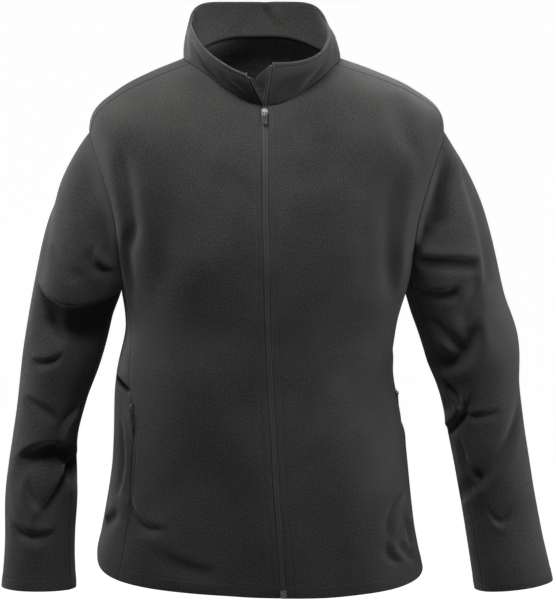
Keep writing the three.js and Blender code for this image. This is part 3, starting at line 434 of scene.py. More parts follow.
def seams_of(side):
    """All seams of one side of the body, as lists of places."""
    def turns(start, end, count):
        return evenly(lambda t: armhole_place(side, start + (end - start) * np.asarray(t)), count)

    seams = {
        "arm_front": turns(UNDERARM_TURN, YOKE_TURN, ARM_FRONT),
        "arm_under": turns(UNDERARM_TURN, 360 - UNDERARM_TURN, ARM_UNDER),
        "arm_back": turns(360 - UNDERARM_TURN, 360 + YOKE_TURN, ARM_BACK),
    }

    def lean(base, top):
        def angle_at(level):
            t = np.clip((level - LEAN_FROM) / (top[1] - LEAN_FROM), 0, 1)
            return side * base + (top[0] - side * base) * t * t * (3 - 2 * t)
        return angle_at

    front_top, back_top = seams["arm_front"][0], seams["arm_back"][0]
    seams["side_front"] = up_seam(lean(SIDE_FRONT_ANGLE, front_top), front_top[1], SIDE_SEAM)
    seams["side_back"] = up_seam(lean(SIDE_BACK_ANGLE, back_top), back_top[1], SIDE_SEAM)

    def edge_angle(level):
        ring = through(BODY_RINGS, level)
        return np.arcsin((ring[..., 11] + side * ZIP_OPENING) / ring[..., 4])

    seams["centre_front"] = up_seam(edge_angle, float(NECK), CENTRE_FRONT)
    yoke_neck = np.array([side * YOKE_NECK_ANGLE, NECK])
    seams["neck_front"] = evenly(straight(seams["centre_front"][-1], yoke_neck), NECK_FRONT)
    seams["yoke"] = evenly(straight(yoke_neck, seams["arm_front"][-1]), ACROSS)
    return seams


SEAMS = {1: seams_of(1), -1: seams_of(-1)}


def opened_for_pocket(seam, direction):
    """The side seam drawn to one side where the pocket zip opens it."""
    z = at_places(plain_body, seam)[:, 2]
    from_ends = np.stack([z - POCKET_BOTTOM, POCKET_TOP - z])
    open_share = np.clip(from_ends / POCKET_END, 0, 1).prod(axis=0)
    half = through(BODY_RINGS, seam[:, 1])[:, 3]
    return seam + np.stack([direction * POCKET_HALF_OPENING * open_share / half, 0 * half], axis=-1)


def body_patch(bottom, top, start, end, middle=None):
    """Surface of a panel between four seams, read at rows and columns counted in cells. Where levels
    down its middle are given, its rows ease into them from both sides."""
    def pick(line, at):
        cells = np.arange(len(line))
        return np.stack([np.interp(at, cells, line[:, k]) for k in (0, 1)], axis=-1)

    def surface(rows, columns):
        s = (columns / (len(bottom) - 1))[None, :, None]
        t = (rows / (len(start) - 1))[:, None, None]
        left, right = pick(start, rows)[:, None], pick(end, rows)[:, None]
        low, high = pick(bottom, columns)[None], pick(top, columns)[None]
        corners = (bottom[0] * (1 - s) + bottom[-1] * s) * (1 - t) + (top[0] * (1 - s) + top[-1] * s) * t
        place = left * (1 - s) + right * s + low * (1 - t) + high * t - corners
        angle, level = place[..., 0], place[..., 1]
        if middle is not None:
            aim = np.interp(rows, np.arange(len(middle)), middle)[:, None]
            pull_start, pull_end = (np.clip(1 - 2 * x, 0, 1) ** 2 for x in (s[..., 0], 1 - s[..., 0]))
            level = aim + (left[..., 1] - aim) * pull_start + (right[..., 1] - aim) * pull_end
        return body_point(angle, level)
    return surface


# How an edge is finished: depth under the plain surface at distances from the edge
SEAM_ROLL = ([0, 0.25, 0.7, 1.5, 2.6], [1.2, 0.7, 0.3, 0.08, 0])
TURNED_ROLL = ([0, 0.15, 0.5, 1.1, 2.0], [1.5, 0.7, 0.25, 0.05, 0])
HEM_ROLL = ([0, 0.41, 1.4, 3, 8, 15, 18.2, 20, 22], [1.0, 0.0, -0.4, -0.45, -0.5, -0.45, -0.3, -0.1, 0])
HEM_INSIDE = [(19, 2.5), (17.7, 2.5), (17, 2.3), (16.3, 2.5), (8, 2.6), (1.4, 2.4), (0.41, 1.99)]
SEAM_ALLOWANCE = 0.7  # how far past its roll the edge of a seam runs inwards
STITCH_DEPTH, STITCH_WIDTH = 0.38, 0.75
STITCHED_HEM = 17.0
STITCHED_EDGE = 8.5
STATION_GAP = 0.22  # cells closer than this to a finer station are left out
JOIN_CELLS, JOIN_REACH, JOIN_FALL = 8, 6, 2.5  # where normals lean towards a piece that joins on


def stations(count, spacing, start, end):
    """Places along one side of a panel, in cells: one for each cell and finer ones at distances in
    millimetres from its start and its end, where edges roll and stitches lie."""
    near_start = np.asarray(start) / spacing
    near_end = count - np.asarray(end) / spacing
    inner = np.arange(1, count)
    kept = inner[[min(np.abs(near_start - k).min(), np.abs(near_end - k).min()) > STATION_GAP for k in inner]]
    return np.unique(np.concatenate([[0, count], near_start, near_end, kept]))


def around_stitch(distance):
    """Distances just beside and on a stitched line."""
    return [distance - 1.3, distance - 0.6, distance, distance + 0.6, distance + 1.3]


SEAM_STATIONS = list(SEAM_ROLL[0])
EDGE_STATIONS = list(TURNED_ROLL[0]) + around_stitch(STITCHED_EDGE)
HEM_STATIONS = sorted({*HEM_ROLL[0], 8, 16.3, 17, 17.7, 19, *around_stitch(STITCHED_HEM)})


def runs_along(points, axis):
    """Distances along the surface from the first row or column."""
    steps = np.linalg.norm(np.diff(points, axis=axis), axis=-1)
    pad = [(1, 0), (0, 0)] if axis == 0 else [(0, 0), (1, 0)]
    return np.pad(np.cumsum(steps, axis=axis), pad)


def leaning_tree(meeting):
    """Search tree over the points where two surfaces meet, each with the direction half way between
    both normals."""
    tree = kdtree.KDTree(len(meeting))
    for i, (point, _) in enumerate(meeting):
        tree.insert(point, i)
    tree.balance()
    return tree, [lean for _, lean in meeting]


def cut_cloth(surface, rows, columns, outward, edges, stitches=(), inside=(), meeting=None):
    """A cut piece as a grid of points. edges holds how the first and last row and the first and last
    column are rolled, stitches the sewn lines (edge, distance, last row), and inside the turned-in
    rows past the first row. meeting leans the normals where another surface joins on."""
    base = surface(rows, columns)
    normal = unit(np.cross(np.gradient(base, axis=1), np.gradient(base, axis=0))) * outward
    if meeting is not None:
        tree, leans = meeting
        for r, c in np.ndindex(base.shape[:2]):
            if min(r, len(rows) - 1 - r, c, len(columns) - 1 - c) > JOIN_CELLS:
                continue
            _, index, gap = tree.find(base[r, c])
            if gap < JOIN_REACH:
                share = math.exp(-((gap / JOIN_FALL) ** 2))
                normal[r, c] = normal[r, c] * (1 - share) + np.asarray(leans[index]) * share
        normal = unit(normal)
    from_first_row, from_first_column = runs_along(base, 0), runs_along(base, 1)
    distance = {
        "first_row": from_first_row, "last_row": from_first_row[-1:] - from_first_row,
        "first_column": from_first_column, "last_column": from_first_column[:, -1:] - from_first_column,
    }
    depth = sum(np.interp(distance[edge], *roll) for edge, roll in edges.items())
    for edge, at, last in stitches:
        on = (rows <= last)[:, None]
        depth = depth + on * STITCH_DEPTH * np.exp(-(((distance[edge] - at) / STITCH_WIDTH) ** 2))
    points = base - normal * depth[..., None]
    sewn = [sewn_line(points, normal, distance[edge], at, edge, rows <= last) for edge, at, last in stitches]
    row_of, row_depth = list(range(len(rows))), np.zeros(len(rows))
    if inside:
        spacing = from_first_row[-1].mean() / rows[-1]
        turned = [int(np.abs(rows * spacing - at).argmin()) for at, _ in inside]
        row_of = turned + row_of + [len(rows) - 1]
        row_depth = np.concatenate([np.zeros(len(inside)), row_depth, [SEAM_ALLOWANCE]])
    else:
        row_of = [0, *row_of, len(rows) - 1]
        row_depth = np.concatenate([[SEAM_ALLOWANCE], row_depth, [SEAM_ALLOWANCE]])
    column_of = [0, *range(len(columns)), len(columns) - 1]
    column_depth = np.zeros(len(column_of))
    column_depth[[0, -1]] = SEAM_ALLOWANCE
    grid = points[row_of][:, column_of]
    grid_normal = normal[row_of][:, column_of]
    extra = row_depth[:, None] + column_depth[None, :]
    for i, (_, inner_depth) in enumerate(inside):
        column_roll = sum(
            np.interp(distance[edge][row_of[i]], *edges[edge])
            for edge in ("first_column", "last_column") if edge in edges)
        grid[i] = (base[row_of[i]] - normal[row_of[i]] * (inner_depth + column_roll)[:, None])[column_of]
    grid = grid - grid_normal * extra[..., None]
    u = (from_first_column - from_first_column[:, -1:] / 2)[row_of][:, column_of]
    v = from_first_row[row_of][:, column_of]
    v[: len(inside)] *= -1
    return {"points": grid, "uv": np.stack([u, v], axis=-1), "outward": outward, "sewn": sewn}


def sewn_line(points, normal, distance, at, edge, on):
    """Points and normals along a sewn line, at a distance from an edge."""
    if edge.endswith("row"):
        points, normal, distance = (np.swapaxes(a, 0, 1) for a in (points, normal, distance))
    else:
        points, normal, distance = points[on], normal[on], distance[on]
    line, up = [], []
    for p, n, d in zip(points, normal, distance):
        order = np.argsort(d)
        line.append([np.interp(at, d[order], p[order, k]) for k in range(3)])
        up.append([np.interp(at, d[order], n[order, k]) for k in range(3)])
    return np.array(line), unit(np.array(up))


def cloth_piece(name, cloth, materials, node, cut, thickness=CLOTH_THICKNESS):
    """A mesh piece from a cut piece's grid, with its thickness on the inner side. It takes the place of a
    solid. Its cut, the flat size and area in metres, is not used."""
    rows, columns = cloth["points"].shape[:2]
    sheet = bmesh.new()
    bmesh.ops.create_grid(sheet, x_segments=columns - 1, y_segments=rows - 1, size=1)
    if cloth["outward"] < 0:
        bmesh.ops.reverse_faces(sheet, faces=sheet.faces)
    piece = new_object(name, sheet, materials)
    mesh = piece.data
    mesh.vertices.foreach_set("co", (cloth["points"].reshape(-1, 3) * MM).astype(np.float32).ravel())
    corner = np.empty(len(mesh.loops), np.int32)
    mesh.loops.foreach_get("vertex_index", corner)
    uv = mesh.uv_layers.new(name="cloth")
    uv.data.foreach_set("uv", (cloth["uv"].reshape(-1, 2)[corner] * MM).astype(np.float32).ravel())
    mesh.update()
    wall = piece.modifiers.new("thickness", "SOLIDIFY")
    wall.thickness = thickness * MM
    wall.offset = -1
    wall.use_quality_normals = True
    wall.material_offset = len(materials) - 1
    flat, area = cut
    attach(piece, "jacket")
    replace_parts(piece, node)


STITCH_LENGTH, STITCH_GAP, STITCH_OUT, THREAD_RADIUS = 2.5, 0.7, 0.12, 0.26
LOOK_ALONG = 0.3  # how far to each side a line's direction is read


def spaced(line, normal, pitch):
    """Points, directions and normals at an even pitch along a line."""
    run = np.concatenate([[0], np.cumsum(np.linalg.norm(np.diff(line, axis=0), axis=1))])
    count = max(int(run[-1] / pitch), 1)
    at = (np.arange(count) + 0.5) * run[-1] / count
    point, up = (np.stack([np.interp(at, run, a[:, k]) for k in range(3)], -1) for a in (line, normal))
    ahead = np.stack([np.interp(at + LOOK_ALONG, run, line[:, k]) for k in range(3)], -1)
    behind = np.stack([np.interp(at - LOOK_ALONG, run, line[:, k]) for k in range(3)], -1)
    return point, unit(ahead - behind), unit(up)


def frame_at(point, along, up, scale):
    """Matrix of a small piece: x along, y across, z up, at a point in millimetres."""
    across = np.cross(up, along)
    up = np.cross(along, across)
    axes = np.stack([along * scale[0], across * scale[1], up * scale[2]], axis=-1) * MM
    return Matrix([[*axes[i], point[i] * MM] for i in range(3)] + [[0, 0, 0, 1]])


def small_solids(name, places, material):
    """Many small rounded bodies as one joined mesh, each a sphere drawn out by its matrix."""
    solids = bmesh.new()
    for place in places:
        bmesh.ops.create_uvsphere(solids, u_segments=6, v_segments=4, radius=1, matrix=place)
    piece = new_object(name, solids, [material])
    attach(piece, "jacket")


def stitching(name, lines):
    """A sewn thread as stitches along lines, half sunk in the cloth."""
    small_solids(name, [
        frame_at(point + up * STITCH_OUT, along, up, (STITCH_LENGTH / 2, THREAD_RADIUS, THREAD_RADIUS))
        for line, normal in lines
        for point, along, up in zip(*spaced(line, normal, STITCH_LENGTH + STITCH_GAP))
    ], THREAD)


def math_node(tree, operation, *values):
    """A Math node whose inputs are numbers or sockets."""
    node = tree.nodes.new("ShaderNodeMath")
    node.operation = operation
    fill_inputs(tree, node, dict(enumerate(values)))
    return node.outputs[0]


def blended(tree, mask, low, high, dark, light):
    """A colour that runs from dark to light between two values of a mask."""
    ramp = add_node(tree, "ShaderNodeValToRGB", {"Fac": mask})
    for element, position, colour in zip(ramp.color_ramp.elements, (low, high), (dark, light)):
        element.position = position
        element.color = (*colour, 1)
    return ramp.outputs["Color"]


def bumped(tree, height, strength, distance):
    """Normals of a fine relief."""
    relief = add_node(tree, "ShaderNodeBump", {"Height": height, "Strength": strength, "Distance": distance})
    return relief.outputs["Normal"]


def node_group(name, inputs, outputs):
    """A node group with its named sockets. Gives its entry's sockets and its exit node too."""
    group = bpy.data.node_groups.new(name, "ShaderNodeTree")
    for socket, kind in inputs.items():
        group.interface.new_socket(socket, in_out="INPUT", socket_type=kind)
    for socket in outputs:
        group.interface.new_socket(socket, in_out="OUTPUT", socket_type="NodeSocketFloat")
    return group, group.nodes.new("NodeGroupInput").outputs, group.nodes.new("NodeGroupOutput")


def woven_face_group():
    """Node group for a dense weave: crossing threads with uneven spacing, and a soft mottle."""
    group, given, exit_node = node_group("woven_face", {
        "Vector": "NodeSocketVector", "Threads": "NodeSocketFloat", "Mottle Scale": "NodeSocketFloat",
    }, ["Height", "Mottle"])
    waves = []
    for axis in ("X", "Y"):
        wave = add_node(group, "ShaderNodeTexWave", {
            "Vector": given["Vector"], "Scale": given["Threads"], "Distortion": 1.2, "Detail": 2})
        wave.bands_direction = axis
        waves.append(wave.outputs["Fac"])
    mottle = add_node(group, "ShaderNodeTexNoise", {
        "Vector": given["Vector"], "Scale": given["Mottle Scale"], "Detail": 6, "Roughness": 0.62,
    }).outputs["Fac"]
    threads = math_node(group, "MULTIPLY", math_node(group, "MULTIPLY", *waves), 0.5)
    fill_inputs(group, exit_node, {"Height": math_node(group, "ADD", threads, mottle), "Mottle": mottle})
    return group


WOVEN_FACE = woven_face_group()


def woven_material(name, dark, light, threads, mottle_scale, bump, roughness, sheen):
    """A woven or brushed cloth whose tone wanders between two greys."""
    material, tree, shader = new_material(name)
    coordinates = tree.nodes.new("ShaderNodeTexCoord").outputs
    weave = tree.nodes.new("ShaderNodeGroup")
    weave.node_tree = WOVEN_FACE
    fill_inputs(tree, weave, {"Vector": coordinates["UV"], "Threads": threads, "Mottle Scale": mottle_scale})
    drift = add_node(tree, "ShaderNodeTexNoise", {"Vector": coordinates["Object"], "Scale": 9, "Detail": 3})
    mottle = weave.outputs["Mottle"]
    tone = math_node(tree, "ADD", math_node(tree, "MULTIPLY", drift.outputs["Fac"], 0.3),
                     math_node(tree, "MULTIPLY", mottle, 0.7))
    fill_inputs(tree, shader, {
        "Base Color": blended(tree, tone, 0.38, 0.62, dark, light),
        "Roughness": ranged(tree, mottle, roughness - 0.06, roughness + 0.06),
        "Normal": bumped(tree, weave.outputs["Height"], 0.6, bump),
        "Sheen Weight": sheen, "Sheen Roughness": 0.45, "Specular IOR Level": 0.3,
    })
    return material


SOFTSHELL = woven_material(
    "softshell_face", dark=(0.014, 0.014, 0.0137), light=(0.070, 0.070, 0.067), threads=900,
    mottle_scale=450, bump=0.0003, roughness=0.8, sheen=0.3)
FLEECE = woven_material(
    "fleece_back", dark=(0.07, 0.07, 0.068), light=(0.16, 0.16, 0.157), threads=260,
    mottle_scale=160, bump=0.0009, roughness=0.95, sheen=0.5)
THREAD = woven_material(
    "sewing_thread", dark=(0.05, 0.05, 0.049), light=(0.075, 0.075, 0.073), threads=1500,
    mottle_scale=900, bump=0.0001, roughness=0.6, sheen=0.2)


def armhole_loop(side):
    """Points round an armhole on the body, and their turns, from the underarm over back and front."""
    seams = SEAMS[side]
    places = joined(seams["arm_under"], seams["arm_back"], seams["arm_front"][::-1])
    turns = np.radians(np.concatenate([
        np.linspace(UNDERARM_TURN, 360 - UNDERARM_TURN, ARM_UNDER + 1),
        np.linspace(360 - UNDERARM_TURN, 360 + YOKE_TURN, ARM_BACK + 1)[1:],
        np.linspace(360 + YOKE_TURN, 360 + UNDERARM_TURN, ARM_FRONT + 1)[1:],
    ]))
    return at_places(body_point, places), turns, places


# Sleeve rings from the upper arm to the cuff: centre, half width across, half depth, and how much higher
# the outer side stands than the inner one under the armpit.
SLEEVE_RINGS = {
    -1: np.array([
        # x, y, z, half, deep, slope
        (-257, 6, -312, 49, 68, 66), (-269, 8, -362, 52, 66, 34), (-281, 10, -412, 52, 62, 12),
        (-294, 8, -466, 47, 58, 0), (-306, 0, -525, 44, 54, 0), (-312, -14, -592, 49, 50, 0),
        (-316, -30, -662, 48, 46, 0), (-319, -44, -726, 51, 44, 0),
    ], float),
    1: np.array([
        (264, 6, -318, 58, 68, 66), (279, 8, -368, 60, 66, 34), (296, 10, -418, 64, 62, 12),
        (307, 8, -476, 57, 58, 0), (318, 0, -542, 54, 54, 0), (329, -14, -612, 53, 50, 0),
        (340, -30, -684, 54, 47, 0), (352, -44, -751, 57, 45, -10),
    ], float),
}
CAP_SHARE = 0.3  # share of a sleeve's length that lies in its cap
# How the cap leaves the armhole and arrives at the first ring: out, down, arrive
CAP_TOP, CAP_FLANK, CAP_UNDER = (118, 140, 165), (40, 110, 120), (4, 24, 30)
SLEEVE_ARC = 62.0
SLEEVE_WAVES, SLEEVE_WAVE_SCALE, SLEEVE_WAVE_SHIFT = 0.7, 1.4, 40  # against those of the body
SLEEVE_FOLDS_FROM, COLLAR_FOLDS_FROM = 0.06, 0.15  # shares of the length over which folds set in
SLEEVE_FOLDS = {
    -1: [
        # across_from, across_to, along_from, along_to, width, lift, dip, bow, edge
        (39, 164, 208, 210, -52, 6, 19, -17, 3.5),  # overhang at the armpit
        (49, 141, 37, 188, -20, 2.2, 10.2, 4, 6),  # beside the armhole
        (39, 114, 69, 166, 14, 2.2, 4.9, -8, 5),  # sweep to the armpit
        (92, 127, 144, 178, -9, 2.9, 5.8, -6, 3),  # tuck at the armpit
        (47, 97, 144, 181, -14, 1.4, 3.5, -3, 5),  # over the overhang
        (44, 89, 250, 283, 14, 2.9, 4.3, 1, 5),  # under the overhang
        (49, 94, 299, 292, -10, 2.3, 5.2, -4, 3),  # upper forearm
        (47, 111, 353, 376, -12, 2.2, 4.3, 4, 4),  # over the elbow
        (57, 182, 428, 442, -30, 4.5, 15, 19, 3),  # overhang at the elbow
        (144, 127, 376, 420, -12, 8.0, 4.3, -8, 4),  # bulge inside the elbow
        (182, 91, 446, 518, 16, 4.1, 7.0, -14, 4),  # down the forearm
        (48, 122, 523, 532, -12, 3.2, 6.7, -6, 4),  # over the cuff
        (67, 100, 467, 505, 14, 2.3, 4.9, -6, 5),  # forearm hollow
        (-30, 30, 70, 180, 20, 1.2, 2.3, 6, 8),  # outside of the upper arm
        (-120, -40, 250, 300, 18, 2.6, 4.9, 6, 6),  # back of the arm
        (-150, -60, 330, 385, 28, 5.8, 8.7, 8, 9),
        (-140, -70, 430, 400, 15, 2.6, 4.3, 5, 5),
        (-110, -50, 520, 545, 16, 2.0, 3.5, -5, 6),
    ],
    1: [
        (51, 121, 40, 144, -30, 1.4, 13.0, 2, 8),  # beside the armhole
        (34, 75, 22, 118, 14, 4.3, 8.7, -1, 4),  # drape from the shoulder
        (127, 74, 156, 117, -14, 5.8, 8.7, 0, 4),  # from the armpit
        (132, 70, 162, 171, 16, 4.3, 10.2, 1, 4),  # across at the armpit
        (145, 105, 212, 208, 13, 2.9, 7.0, 5, 4),  # under the armpit
        (16, 69, 4, 215, -15, 2.9, 5.8, 0, 4),  # down the outside
        (64, 103, 207, 264, 18, 4.3, 8.0, -2, 6),  # sweep to the elbow
        (155, 128, 262, 308, -14, 4.3, 8.0, -1, 4),  # into the elbow
        (158, 88, 337, 270, -22, 6.5, 11.6, 14, 5),  # ridge over the elbow
        (166, 142, 359, 385, -10, 4.3, 7.2, 0, 3),  # inside the elbow
        (129, 191, 370, 424, -10, 7.2, 5.8, -7, 3),  # bulge inside the elbow
        (147, 88, 393, 384, 9, 2.2, 4.9, 3, 3),  # under the elbow
        (35, 182, 394, 524, 16, 6.1, 8.7, -13, 4),  # ridge down the forearm
        (167, 131, 447, 496, -12, 2.9, 7.0, 9, 4),  # forearm hollow
        (127, 94, 535, 537, -9, 3.2, 4.9, 12, 3),  # over the cuff
        (-120, -40, 250, 300, 18, 2.6, 4.9, 6, 6),  # back of the arm
        (-150, -60, 330, 395, 28, 5.8, 8.7, 8, 9),
        (-140, -70, 440, 405, 15, 2.6, 4.3, 5, 5),
        (-110, -50, 540, 560, 16, 2.0, 3.5, -5, 6),
    ],
}


def ring_point(side, around, place):
    """The sleeve below its cap. around runs from the shoulder's top over the front and under the arm."""
    rings = SLEEVE_RINGS[side]
    row = through(rings, place)
    down = unit(through(rings, place + 0.05)[..., :3] - through(rings, place - 0.05)[..., :3])
    outward, forward = (
        unit(axis - down * (down @ axis)[..., None])
        for axis in (np.array([side, 0.0, 0.0]), np.array([0.0, -1.0, 0.0])))
    c, s = np.cos(around)[..., None], np.sin(around)[..., None]
    point = row[..., :3] + outward * row[..., 3:4] * c + forward * row[..., 4:5] * s
    point[..., 2] += 0.5 * row[..., 5] * c[..., 0]
    return point


LOOPS = {side: armhole_loop(side) for side in (1, -1)}


def seam_point(side, around):
    """Point of the armhole seam at a turn round the sleeve."""
    points, turns, _ = LOOPS[side]
    turn = turns[0] + np.mod(around - turns[0], math.tau)
    return np.stack([np.interp(turn, turns, points[:, k]) for k in range(3)], axis=-1)


def plain_sleeve(side, around, t):
    """The sleeve without folds, from the armhole (0) to the cuff (1)."""
    last = len(SLEEVE_RINGS[side]) - 1
    below = ring_point(side, around, np.clip(last * (t - CAP_SHARE) / (1 - CAP_SHARE), -0.5, last + 0.5))
    top, under = (np.clip(sign * np.cos(around), 0, 1) ** 2 for sign in (1, -1))
    out, down, arrive_length = (
        a * top + b * (1 - top - under) + c * under for a, b, c in zip(CAP_TOP, CAP_FLANK, CAP_UNDER))
    start = 0 * around
    end = ring_point(side, around, start)
    arrive = unit(ring_point(side, around, start + 0.1) - end) * arrive_length[..., None]
    leave = np.stack([side * out, 0 * out, -down], axis=-1)
    u = np.clip(t / CAP_SHARE, -0.2, 1)[..., None]
    u2, u3 = u * u, u * u * u
    above = seam_point(side, around) * (2 * u3 - 3 * u2 + 1) + leave * (u3 - 2 * u2 + u) \
        + end * (3 * u2 - 2 * u3) + arrive * (u3 - u2)
    return np.where((t < CAP_SHARE)[..., None], above, below)


def sleeve_normal(side, around, t):
    """Outward normals of the sleeve without folds."""
    by_turn = plain_sleeve(side, around + 0.05, t) - plain_sleeve(side, around - 0.05, t)
    by_length = plain_sleeve(side, around, t + 0.01) - plain_sleeve(side, around, t - 0.01)
    return unit(np.cross(by_turn, by_length)) * side


def sleeve_point(side, around, t):
    """The sleeve with its folds and waves, which grow from the armhole seam."""
    around, t = np.broadcast_arrays(around, t)
    point = plain_sleeve(side, around, t)
    across = wrapped(around) * SLEEVE_ARC
    along = ARMHOLE_Z + ARMHOLE_HEIGHT - point[..., 2]
    height = relief_of(SLEEVE_FOLDS[side], across, along)
    waves = waves_of(across * SLEEVE_WAVE_SCALE + SLEEVE_WAVE_SHIFT * side, along)
    height = (height + SLEEVE_WAVES * waves) * np.clip(t / SLEEVE_FOLDS_FROM, 0, 1)
    return point + sleeve_normal(side, around, np.clip(t, 0.01, 0.99)) * height[..., None]


# Collar top edge: an oval whose two front edges stand apart, each with its own reach and height. From
# the sides the rim falls to each front edge and rises to the back, as squarely as its level says.
COLLAR_HALF, COLLAR_TO_BACK, COLLAR_CENTRE, COLLAR_SIDE = 92.5, 60.0, -7.0, 36.0
COLLAR_BACK, COLLAR_BACK_LEVEL, COLLAR_SQUARE, COLLAR_BELLY = 66.0, 15.0, 3.0, 3.0
COLLAR_LEFT = {"front": -8.0, "to_front": 88.0, "edge": math.radians(7), "level": 4.0}
COLLAR_RIGHT = {"front": -27.0, "to_front": 98.0, "edge": math.radians(360 - 15.5), "level": 1.9}
COLLAR_ARC = 95.0
COLLAR_HEIGHT = 55.0
COLLAR_FOLDS = [
    # across_from, across_to, along_from, along_to, width, lift, dip, bow, edge
    (-96, -60, 38, 6, 13, 1.2, 2.6, 4, 5),  # dents on the wearer's right
    (-128, -118, 46, 10, 13, 1.4, 1.8, -3, 6),
    (-40, -28, 40, 16, 10, 0.8, 1.2, 2, 5),
    (88, 50, 50, 4, -15, 1.2, 2.8, -4, 6),  # dents on the wearer's left
    (134, 118, 50, 8, 12, 2.0, 2.4, 5, 5),
    (18, 84, 29, 25, 17, 2.2, 3.0, 0, 12),  # the front halves roll outwards
    (-86, -18, 25, 28, 17, 1.6, 2.0, 0, 12),
    (288, 262, 56, 18, 14, 1.0, 2.8, 3, 5),  # across the back
    (-270, -240, 50, 20, 14, 0.8, 1.6, -3, 6),
]


def past_centre_back(places):
    """Places on the wearer's right with their angles counted on past centre back."""
    return np.stack([np.mod(places[:, 0], math.tau), places[:, 1]], axis=-1)


NECK_LOOP = joined(
    SEAMS[1]["neck_front"],
    evenly(straight(SEAMS[1]["yoke"][0], past_centre_back(SEAMS[-1]["yoke"])[0]), NECK_BACK),
    past_centre_back(SEAMS[-1]["neck_front"][::-1]),
)[:, 0]


def plain_collar(angle, height):
    """The collar between the neck seam (0) and its top edge (1), without folds."""
    share = (angle - NECK_LOOP[0]) / (NECK_LOOP[-1] - NECK_LOOP[0])
    top_angle = COLLAR_LEFT["edge"] + (COLLAR_RIGHT["edge"] - COLLAR_LEFT["edge"]) * share
    s, c = np.sin(top_angle), np.cos(top_angle)
    front, to_front, level = (
        np.where(s > 0, COLLAR_LEFT[key], COLLAR_RIGHT[key]) for key in ("front", "to_front", "level"))
    x, y = on_oval(top_angle, COLLAR_HALF, to_front, COLLAR_TO_BACK, COLLAR_SQUARE)
    end, level = np.where(c > 0, front, COLLAR_BACK), np.where(c > 0, level, COLLAR_BACK_LEVEL)
    rise = (1 - np.abs(s) ** level) * (end - COLLAR_SIDE)
    top = np.stack([x + COLLAR_CENTRE, y, COLLAR_SIDE + rise], axis=-1)
    foot = plain_body(angle, 0 * angle + NECK)
    belly = (COLLAR_BELLY * 4 * height * (1 - height))[..., None]
    return foot + (top - foot) * height[..., None] \
        + np.stack([np.sin(angle), -np.cos(angle), 0 * angle], axis=-1) * belly


def collar_point(angle, height):
    """The collar with its folds."""
    angle, height = np.broadcast_arrays(angle, height)
    relief = relief_of(COLLAR_FOLDS, wrapped(angle) * COLLAR_ARC, height * COLLAR_HEIGHT)
    relief = relief * np.clip(height / COLLAR_FOLDS_FROM, 0, 1)
    outward = normals_of(plain_collar, angle, height, 0.02, 0.02)
    return plain_collar(angle, height) + outward * relief[..., None]


def collar_normal(angle, height):
    """Outward normals of the collar with its folds."""
    return normals_of(collar_point, angle, height, 0.02, 0.02)


def meeting_points():
    """Where the sleeves and the collar join the body, with the direction half way between both."""
    meeting = []
    for side in (1, -1):
        points, turns, places = LOOPS[side]
        on_body = at_places(body_normal, places)
        on_sleeve = sleeve_normal(side, turns, np.full(len(turns), 0.012))
        meeting += list(zip(points, unit(on_body + on_sleeve)))
    levels = np.full(len(NECK_LOOP), float(NECK))
    on_body = body_normal(NECK_LOOP, levels - 0.05)
    on_collar = collar_normal(NECK_LOOP, 0 * levels + 0.03)
    meeting += list(zip(body_point(NECK_LOOP, levels), unit(on_body + on_collar)))
    return leaning_tree(meeting)


MEETING = meeting_points()
PANEL_ROLLS = {
    "first_row": HEM_ROLL, "last_row": SEAM_ROLL, "first_column": SEAM_ROLL, "last_column": SEAM_ROLL}


def hemmed_panel(node, surface, cells, cell_size, outward, cut, rolls=PANEL_ROLLS,
                 first_column=SEAM_STATIONS, stitches=()):
    """A panel with its hem turned up and stitched. cells and cell_size are along it and across it."""
    rows = stations(cells[0], cell_size[0], HEM_STATIONS, SEAM_STATIONS)
    columns = stations(cells[1], cell_size[1], first_column, SEAM_STATIONS)
    hem = ("first_row", STITCHED_HEM, math.inf)
    cloth = cut_cloth(
        surface, rows, columns, outward, rolls, stitches=[hem, *stitches], inside=HEM_INSIDE, meeting=MEETING)
    cloth_piece(f"{node}_cloth", cloth, [SOFTSHELL, FLEECE], node, cut)
    stitching(f"{node}_stitching", cloth["sewn"])


FRONT_WIDTH, FRONT_SIDE_ROW = 230.0, 3.5  # rough width across, and height of a row of cells
FRONT_CUT = {1: ((0.31, 0.77), 0.167), -1: ((0.29, 0.77), 0.153)}


def make_front(side, key):
    """One front with its stitched hem and its stitched edge along the zip."""
    seams = SEAMS[side]
    start = joined(seams["centre_front"], seams["neck_front"])
    end = joined(opened_for_pocket(seams["side_front"], -side), seams["arm_front"])
    bottom = evenly(straight(start[0], end[0]), ACROSS)
    hemmed_panel(
        f"front_{key}", body_patch(bottom, seams["yoke"], start, end), (len(start) - 1, ACROSS),
        (FRONT_SIDE_ROW, FRONT_WIDTH / ACROSS), side, FRONT_CUT[side],
        rolls={**PANEL_ROLLS, "first_column": TURNED_ROLL}, first_column=EDGE_STATIONS,
        stitches=[("first_column", STITCHED_EDGE, CENTRE_FRONT)])


make_front(1, "left")
make_front(-1, "right")

# Side panels
# A narrow panel under each arm, between the front and the back. Its front seam holds the pocket zip,
# its top is part of the armhole, and its hem is turned up and stitched with the others.
PANEL_WIDTH, PANEL_ROW = 110.0, 2.8
PANEL_CUT = {1: ((0.145, 0.44), 0.0597), -1: ((0.145, 0.44), 0.0556)}


def make_side_panel(side, key):
    """One side panel with its stitched hem."""
    seams = SEAMS[side]
    start = opened_for_pocket(seams["side_front"], side)
    bottom = evenly(straight(start[0], seams["side_back"][0]), SIDE_PANEL)
    hemmed_panel(
        f"side_panel_{key}", body_patch(bottom, seams["arm_under"], start, seams["side_back"]),
        (SIDE_SEAM, SIDE_PANEL), (PANEL_ROW, PANEL_WIDTH / SIDE_PANEL), side, PANEL_CUT[side])


make_side_panel(1, "left")
make_side_panel(-1, "right")

